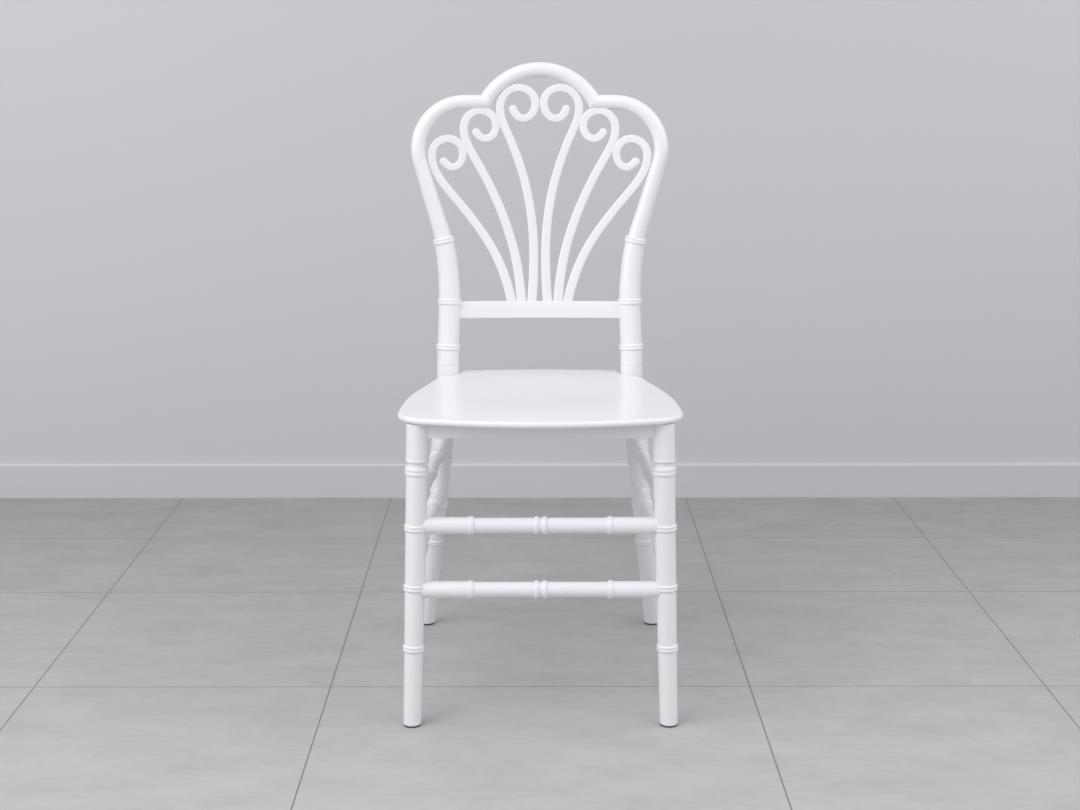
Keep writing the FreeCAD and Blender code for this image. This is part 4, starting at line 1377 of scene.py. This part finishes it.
@dataclass
class ScrollFan:
    """The six scroll bars, three on each side."""

    back: BackShape
    depth: float = 12.0
    edge: float = 2.2
    tip_steps: int = 9
    tip_turn: float = 86.0  # how far round a tip the sections go, in degrees
    turn_step: float = 4.0  # from one section to the next, in degrees
    least_steps: int = 6
    edge_share: float = 0.45  # greatest edge radius, as a share of the width
    sharp: float = 60.0  # edges that bend more than this stay sharp
    inner: tuple[Bend, ...] = (
        Bend(12.9, 547.0, 96.0, 15.0),
        Bend(9.2, 625.0, 90.0, 14.2),
        Bend(23.7, 740.3, 75.2, 13.3),
        Bend(45.0, 801.6, 67.6, 13.1),
        Bend(61.1, 850.0, 90.0, 12.8),
        Bend(32.8, 880.7, 180.0, 12.2),
        Bend(6.45, 857.6, 270.0, 12.6),
        Bend(25.2, 834.1, 360.0, 11.8),
        Bend(41.0, 848.2, 430.0, 13.0),
    )
    middle: tuple[Bend, ...] = (
        Bend(28.0, 547.0, 86.0, 15.0),
        Bend(40.1, 632.5, 76.1, 14.2),
        Bend(81.6, 740.6, 62.9, 13.2),
        Bend(107.2, 786.7, 61.9, 13.1),
        Bend(117.0, 819.0, 90.0, 12.8),
        Bend(91.3, 846.3, 180.0, 12.2),
        Bend(67.3, 823.4, 270.0, 12.6),
        Bend(83.8, 803.6, 360.0, 11.8),
        Bend(98.0, 813.5, 415.0, 12.4),
    )
    outer: tuple[Bend, ...] = (
        Bend(42.2, 547.0, 78.0, 15.0),
        Bend(72.6, 633.0, 61.1, 13.6),
        Bend(115.4, 695.0, 51.3, 13.0),
        Bend(146.8, 733.5, 52.7, 12.6),
        Bend(165.9, 778.6, 90.0, 12.6),
        Bend(141.4, 803.8, 180.0, 12.2),
        Bend(118.4, 781.5, 270.0, 12.2),
        Bend(134.0, 760.6, 360.0, 11.8),
        Bend(148.0, 769.5, 400.0, 12.4),
    )

    def places(self, bends: Sequence[Bend]) -> list[Bend]:
        """Sections along one scroll, ending in the round tip.

        Args:
            bends: the scroll's bends.

        Returns:
            A bend for each section.
        """
        found = [bends[0]]
        for start, end in zip(bends, bends[1:]):
            poles = bend_poles(start, end)
            steps = max(self.least_steps, round(abs(end.heading - start.heading) / self.turn_step))
            for share in (index / steps for index in range(1, steps + 1)):
                heading = start.heading + (end.heading - start.heading) * share
                width = start.width + (end.width - start.width) * share
                found.append(Bend(*cubic(poles, share), heading, width))
        last = bends[-1]
        for step in range(1, self.tip_steps + 1):
            turn = math.radians(self.tip_turn) * step / self.tip_steps
            spot = last.spot + last.way * (last.width / 2 * math.sin(turn))
            found.append(Bend(*spot, last.heading, last.width * math.cos(turn)))
        return found

    def bar(self, bends: Sequence[Bend]) -> Form:
        """One scroll bar at plus X that follows the curve of the back.

        Args:
            bends: its bends.

        Returns:
            The bar.
        """
        rings = []
        for place in self.places(bends):
            angle = math.radians(place.heading)
            ring = []
            for p in rounded_section(place.width, self.depth, min(self.edge, place.width * self.edge_share)):
                spot = self.back.drawn(place.x + p.x * math.sin(angle), place.height - p.x * math.cos(angle))
                ring.append(self.back.placed(spot + REARWARDS * p.y))
            rings.append(ring)
        return Form(rings)

    def build(self, shop: Workshop) -> None:
        """Makes all six bars.

        Args:
            shop: where the pieces are dressed and placed.
        """
        for word, bends in (("inner", self.inner), ("middle", self.middle), ("outer", self.outer)):
            for side in Side:
                place, form = "%s_%s" % (word, side.tag), self.bar(bends).flipped(side)
                shop.add("scroll_bar_" + place, form, "scroll_" + place, sharp=self.sharp)


# Pieces that repeat, by geometry nodes


class PatternTree(Graph):
    """A geometry node tree with named number inputs."""

    def __init__(self, name: str, sizes: dict[str, float]) -> None:
        """Starts a tree that takes a mesh of points and the named sizes.

        Args:
            name: name of the tree.
            sizes: names and values of its inputs.
        """
        super().__init__(bpy.data.node_groups.new(name, "GeometryNodeTree"))
        self.sizes = sizes
        face = self.tree.interface
        for way in ("INPUT", "OUTPUT"):
            face.new_socket("Geometry", in_out=way, socket_type="NodeSocketGeometry")
        self.keys = {
            label: face.new_socket(label, in_out="INPUT", socket_type="NodeSocketFloat").identifier
            for label in sizes
        }
        source = self.add("NodeGroupInput", {}, {})
        self.given = {label: Wire(self, source.outputs[label]) for label in ("Geometry", *sizes)}

    def finish(self, instances: Wire, material: bpy.types.Material) -> None:
        """Ends the tree in real geometry.

        Args:
            instances: what is repeated.
            material: its material.
        """
        real = self.node("GeometryNodeRealizeInstances", {}, {"Geometry": instances})
        dressed = self.node("GeometryNodeSetMaterial", {}, {"Geometry": real, "Material": material})
        self.add("NodeGroupOutput", {}, {"Geometry": dressed})

    def grow(self, name: str, places: Sequence[Vector]) -> bpy.types.Mesh:
        """Runs the tree on points of the frame and keeps the plain mesh.

        Args:
            name: name of the new mesh.
            places: where the pieces go, in the frame's metres.

        Returns:
            The mesh.
        """
        seed = bpy.data.meshes.new(name + "_places")
        seed.from_pydata(list(places), [], [])
        carrier = bpy.data.objects.new(name + "_places", seed)
        bpy.context.scene.collection.objects.link(carrier)
        pattern = carrier.modifiers.new("pattern", "NODES")
        pattern.node_group = self.tree
        for label, key in self.keys.items():
            pattern[key] = self.sizes[label]
        graph = bpy.context.evaluated_depsgraph_get()
        mesh = bpy.data.meshes.new_from_object(carrier.evaluated_get(graph))
        carrier.modifiers.remove(pattern)
        bpy.data.objects.remove(carrier)
        mesh.name = name
        return mesh


@dataclass
class FootPads:
    """The four pads under the feet."""

    front_legs: FrontLegs
    rear_legs: RearLegs
    height: float = 3.5
    radius: float = 12.4  # at the top
    worn_edge: float = 0.7  # how much smaller the radius is at the floor
    vertices: int = 48
    sharp: float = 30.0  # edges that bend more than this stay sharp

    def build(self, shop: Workshop) -> None:
        """Makes the pads as one piece of repeated discs.

        Args:
            shop: where the pieces are dressed and placed.
        """
        sole = self.radius - self.worn_edge
        sizes = {"Radius": self.radius * MM, "Sole Radius": sole * MM, "Height": self.height * MM}
        pattern = PatternTree("foot_pad_pattern", sizes)
        given = pattern.given
        shape = {
            "Vertices": self.vertices, "Radius Top": given["Radius"], "Radius Bottom": given["Sole Radius"],
            "Depth": given["Height"],
        }
        disc = pattern.node("GeometryNodeMeshCone", {"fill_type": "NGON"}, shape)
        discs = {"Points": given["Geometry"], "Instance": disc}
        pattern.finish(pattern.node("GeometryNodeInstanceOnPoints", {}, discs), shop.finishes[Slot.PAD])
        places = []
        for legs in (self.front_legs, self.rear_legs):
            foot = legs.axis(self.height / 2)
            places += [shop.to_frame(Vector((foot.x * side.value, foot.y, 0.0))) for side in Side]
        pads = shop.place("foot_pads", pattern.grow("foot_pads", places), Slot.PAD, self.sharp)
        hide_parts("foot_glides")
        LOG.info("%s stands for the pads under the feet", pads.name)


# Studio


@dataclass(frozen=True)
class Lamp:
    """A soft square lamp."""

    name: str
    place: Triple
    size: float
    power: float  # in watts

    def hang(self, target: Vector) -> None:
        """Adds the lamp.

        Args:
            target: what it points at.
        """
        light = bpy.data.lights.new(self.name, "AREA")
        light.size = self.size
        light.energy = self.power
        lamp = bpy.data.objects.new(self.name, light)
        lamp.location = self.place
        lamp.rotation_euler = (target - Vector(self.place)).to_track_quat("-Z", "Y").to_euler()
        bpy.context.scene.collection.objects.link(lamp)


@dataclass(frozen=True)
class Studio:
    """Floor, wall, lamps and camera."""

    camera_place: Triple = (-8.6, -2350.0, 935.0)  # in the chair's millimetres
    pitch: float = 11.37  # how far it looks down, in degrees
    yaw: float = 0.19  # how far it looks to the right
    focal_pixels: float = 1755.0  # in pixels of the photograph
    frame_pixels: float = 1080.0  # width of the photograph
    sensor: float = 36.0
    reach: float = 9.0  # half width of floor and wall
    wall_y: float = 1.08  # Y of the skirting board's face
    wall_height: float = 6.0
    skirting_height: float = 0.074
    skirting_depth: float = 0.012  # how far it stands out
    tile_near_painted_lit: Colour = (0.478, 0.471, 0.473, 1.0)  # in front, lighter by painted light
    tile_far_painted_shade: Colour = (0.35, 0.345, 0.346, 1.0)  # by the wall, darker by painted shade
    painted_shade_depths: Pair = (-0.4, 0.95)  # Y between which the painted light in front turns into the painted shade by the wall
    tile_stretch: Triple = (1.0, 2.2, 1.0)  # how the tiles' patterns are squeezed
    cloud_scale: float = 7.0  # in waves for each metre
    cloud_layers: Pair = (8.0, 0.62)  # number of finer layers, and how strong they are
    cloud_share: float = 1.3
    streak_scale: float = 46.0
    streak_share: float = 0.6
    joint_colour: Colour = (0.22, 0.21, 0.205, 1.0)
    joint_width: float = 0.0022
    # X of those that run to the rear, Y of those that run across
    joints_across: tuple[float, ...] = (-1.66, -1.21, -0.76, -0.315, 0.315, 0.76, 1.21, 1.66)
    joints_deep: tuple[float, ...] = (-1.0, -0.53, -0.061, 0.411, 0.762, 1.23, 1.7)
    wall_colour: Colour = (0.56, 0.565, 0.593, 1.0)
    sky_colour: Colour = (0.62, 0.63, 0.66, 1.0)
    light_strength: float = 0.655
    target: Triple = (0.0, 0.0, 0.55)  # of the lamps
    lamps: tuple[Lamp, ...] = (
        Lamp("window", (-1.4, -1.9, 2.9), 1.6, 32.0),
        Lamp("fill", (1.9, -1.9, 2.2), 1.6, 12.0),
        Lamp("left", (-2.1, -1.0, 1.6), 1.8, 20.0),
        Lamp("right", (2.1, -0.15, 1.9), 1.8, 15.0),
    )

    def tile_finish(self) -> bpy.types.Material:
        """Pale cloudy floor tiles, with painted shade that darkens them towards the wall.

        Returns:
            The material.
        """
        graph = ShaderGraph(bpy.data.materials.new("cloudy_tile"))
        place = graph.place()
        depth = graph.node("ShaderNodeSeparateXYZ", {}, [place], output="Y")
        drawn = graph.node("ShaderNodeMapping", {}, {"Vector": place, "Scale": self.tile_stretch})
        clouds = graph.noise(drawn, self.cloud_scale, *self.cloud_layers)
        streaks = graph.noise(drawn, self.streak_scale, 4.0)
        # painted shade: the tiles darken with Y towards the wall; clouds and streaks are the tiles' own pattern
        share = graph.ramp(depth, *self.painted_shade_depths)
        share = share + self.cloud_share * (clouds - 0.5) + self.streak_share * (streaks - 0.5)
        return self.one_sided(graph, graph.mix(share, self.tile_near_painted_lit, self.tile_far_painted_shade, clamp=False))

    def plain_finish(self, name: str, colour: Colour) -> bpy.types.Material:
        """Paint or mortar of one colour."""
        return self.one_sided(ShaderGraph(bpy.data.materials.new(name)), colour)

    @staticmethod
    def one_sided(graph: ShaderGraph, colour: Wire | Colour) -> bpy.types.Material:
        """A matt material that a camera below the floor or behind the wall looks through.

        Args:
            graph: the material's nodes so far.
            colour: its colour.

        Returns:
            The material.
        """
        matt = graph.node("ShaderNodeBsdfPrincipled", {}, {"Base Color": colour, "Roughness": 0.6})
        clear = graph.node("ShaderNodeBsdfTransparent")
        behind = graph.node("ShaderNodeNewGeometry", output="Backfacing")
        seen = graph.node("ShaderNodeLightPath", output="Is Camera Ray")
        return graph.finish(graph.node("ShaderNodeMixShader", {}, [behind * seen, matt, clear]))

    def stops(self, joints: Sequence[float]) -> list[float]:
        """Both edges of every joint, between the ends of the floor."""
        edges = [joint + way * self.joint_width / 2 for joint in joints for way in (-1, 1)]
        return [-self.reach] + edges + [self.reach]

    def floor(self) -> None:
        """Square tiles with thin joints between them, all in one plane."""
        across, deep = self.stops(self.joints_across), self.stops(self.joints_deep)
        rows = len(deep)
        faces, kinds = [], []
        for column in range(len(across) - 1):
            for row in range(rows - 1):
                low = column * rows + row
                faces.append((low + rows, low + rows + 1, low + 1, low))
                kinds.append(int(column % 2 == 1 or row % 2 == 1))
        finishes = [self.tile_finish(), self.plain_finish("tile_joint", self.joint_colour)]
        self.stand("floor", [(x, y, 0.0) for x in across for y in deep], faces, finishes, kinds)

    def wall(self) -> None:
        """A wall behind the chair with a skirting board along its foot."""
        edge, top = self.skirting_depth / 3, self.skirting_height
        face = self.wall_y + self.skirting_depth
        profile = [
            (self.wall_y, 0.0), (self.wall_y, top - edge), (self.wall_y + edge, top), (face, top),
            (face, self.wall_height),
        ]
        verts = [(x, y, z) for x in (-self.reach, self.reach) for y, z in profile]
        count = len(profile)
        faces = [(count + k, count + k + 1, k + 1, k) for k in range(count - 1)]
        self.stand("wall", verts, faces, [self.plain_finish("wall_paint", self.wall_colour)], [0] * len(faces))

    @staticmethod
    def stand(
        name: str, verts: Sequence[tuple], faces: Sequence[tuple], materials: Sequence[bpy.types.Material],
        kinds: Sequence[int],
    ) -> None:
        """Adds one piece of the room.

        Args:
            name: its name.
            verts: its points.
            faces: its faces.
            materials: its materials.
            kinds: which of them each face has.
        """
        mesh = bpy.data.meshes.new(name)
        mesh.from_pydata(verts, [], faces)
        for material in materials:
            mesh.materials.append(material)
        mesh.polygons.foreach_set("material_index", kinds)
        piece = bpy.data.objects.new(name, mesh)
        bpy.context.scene.collection.objects.link(piece)

    def world(self) -> None:
        """Even light, with a pale grey where the camera or a reflection looks."""
        graph = ShaderGraph(bpy.data.worlds.new("studio"))
        camera, glossy, through = (
            graph.node("ShaderNodeLightPath", output="Is %s Ray" % kind)
            for kind in ("Camera", "Glossy", "Transmission")
        )
        light = graph.node(
            "ShaderNodeBackground", {}, {"Color": (1.0, 1.0, 1.0, 1.0), "Strength": self.light_strength}
        )
        sky = graph.node("ShaderNodeBackground", {}, {"Color": self.sky_colour})
        mixed = graph.node("ShaderNodeMixShader", {}, [camera | glossy | through, light, sky])
        bpy.context.scene.world = graph.finish(mixed)

    def camera(self, shop: Workshop) -> None:
        """The camera at the photograph's viewing angle.

        Args:
            shop: what knows the frame's origin.
        """
        data = bpy.data.cameras.new("camera")
        data.sensor_width = self.sensor
        data.lens = self.focal_pixels / self.frame_pixels * self.sensor
        camera = bpy.data.objects.new("camera", data)
        camera.location = shop.to_frame(Vector(self.camera_place))
        camera.rotation_euler = (math.radians(90.0 - self.pitch), 0.0, math.radians(-self.yaw))
        bpy.context.scene.collection.objects.link(camera)
        bpy.context.scene.camera = camera

    def build(self, shop: Workshop) -> None:
        """Sets up the studio.

        Args:
            shop: what knows the frame's origin.
        """
        bpy.context.scene.view_settings.view_transform = "Standard"
        self.floor()
        self.wall()
        self.world()
        for lamp in self.lamps:
            lamp.hang(Vector(self.target))
        self.camera(shop)


def main() -> None:
    """Builds the chair and its studio."""
    logging.basicConfig(level=logging.INFO, format="%(name)s: %(message)s")
    back = BackShape()
    front_legs, rear_legs = FrontLegs(), RearLegs(back=back)
    seat = Seat(back, front_legs, rear_legs)
    aprons = Aprons(seat, front_legs, rear_legs)
    pads = FootPads(front_legs, rear_legs)
    front_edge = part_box("foot_glides")[0][1] / MM
    y_shift = front_edge + pads.radius - front_legs.axis(pads.height / 2).y
    shop = Workshop(y_shift, {Slot.RESIN: ResinFinish().build(), Slot.PAD: PadFinish().build()})
    assemblies = [
        front_legs, rear_legs, Stretchers(front_legs, rear_legs), aprons, SeatUnderside(seat, aprons),
        HoopedBack(back), ScrollFan(back), pads, Studio(),
    ]
    for assembly in assemblies:
        assembly.build(shop)


if __name__ == "__main__":
    main()
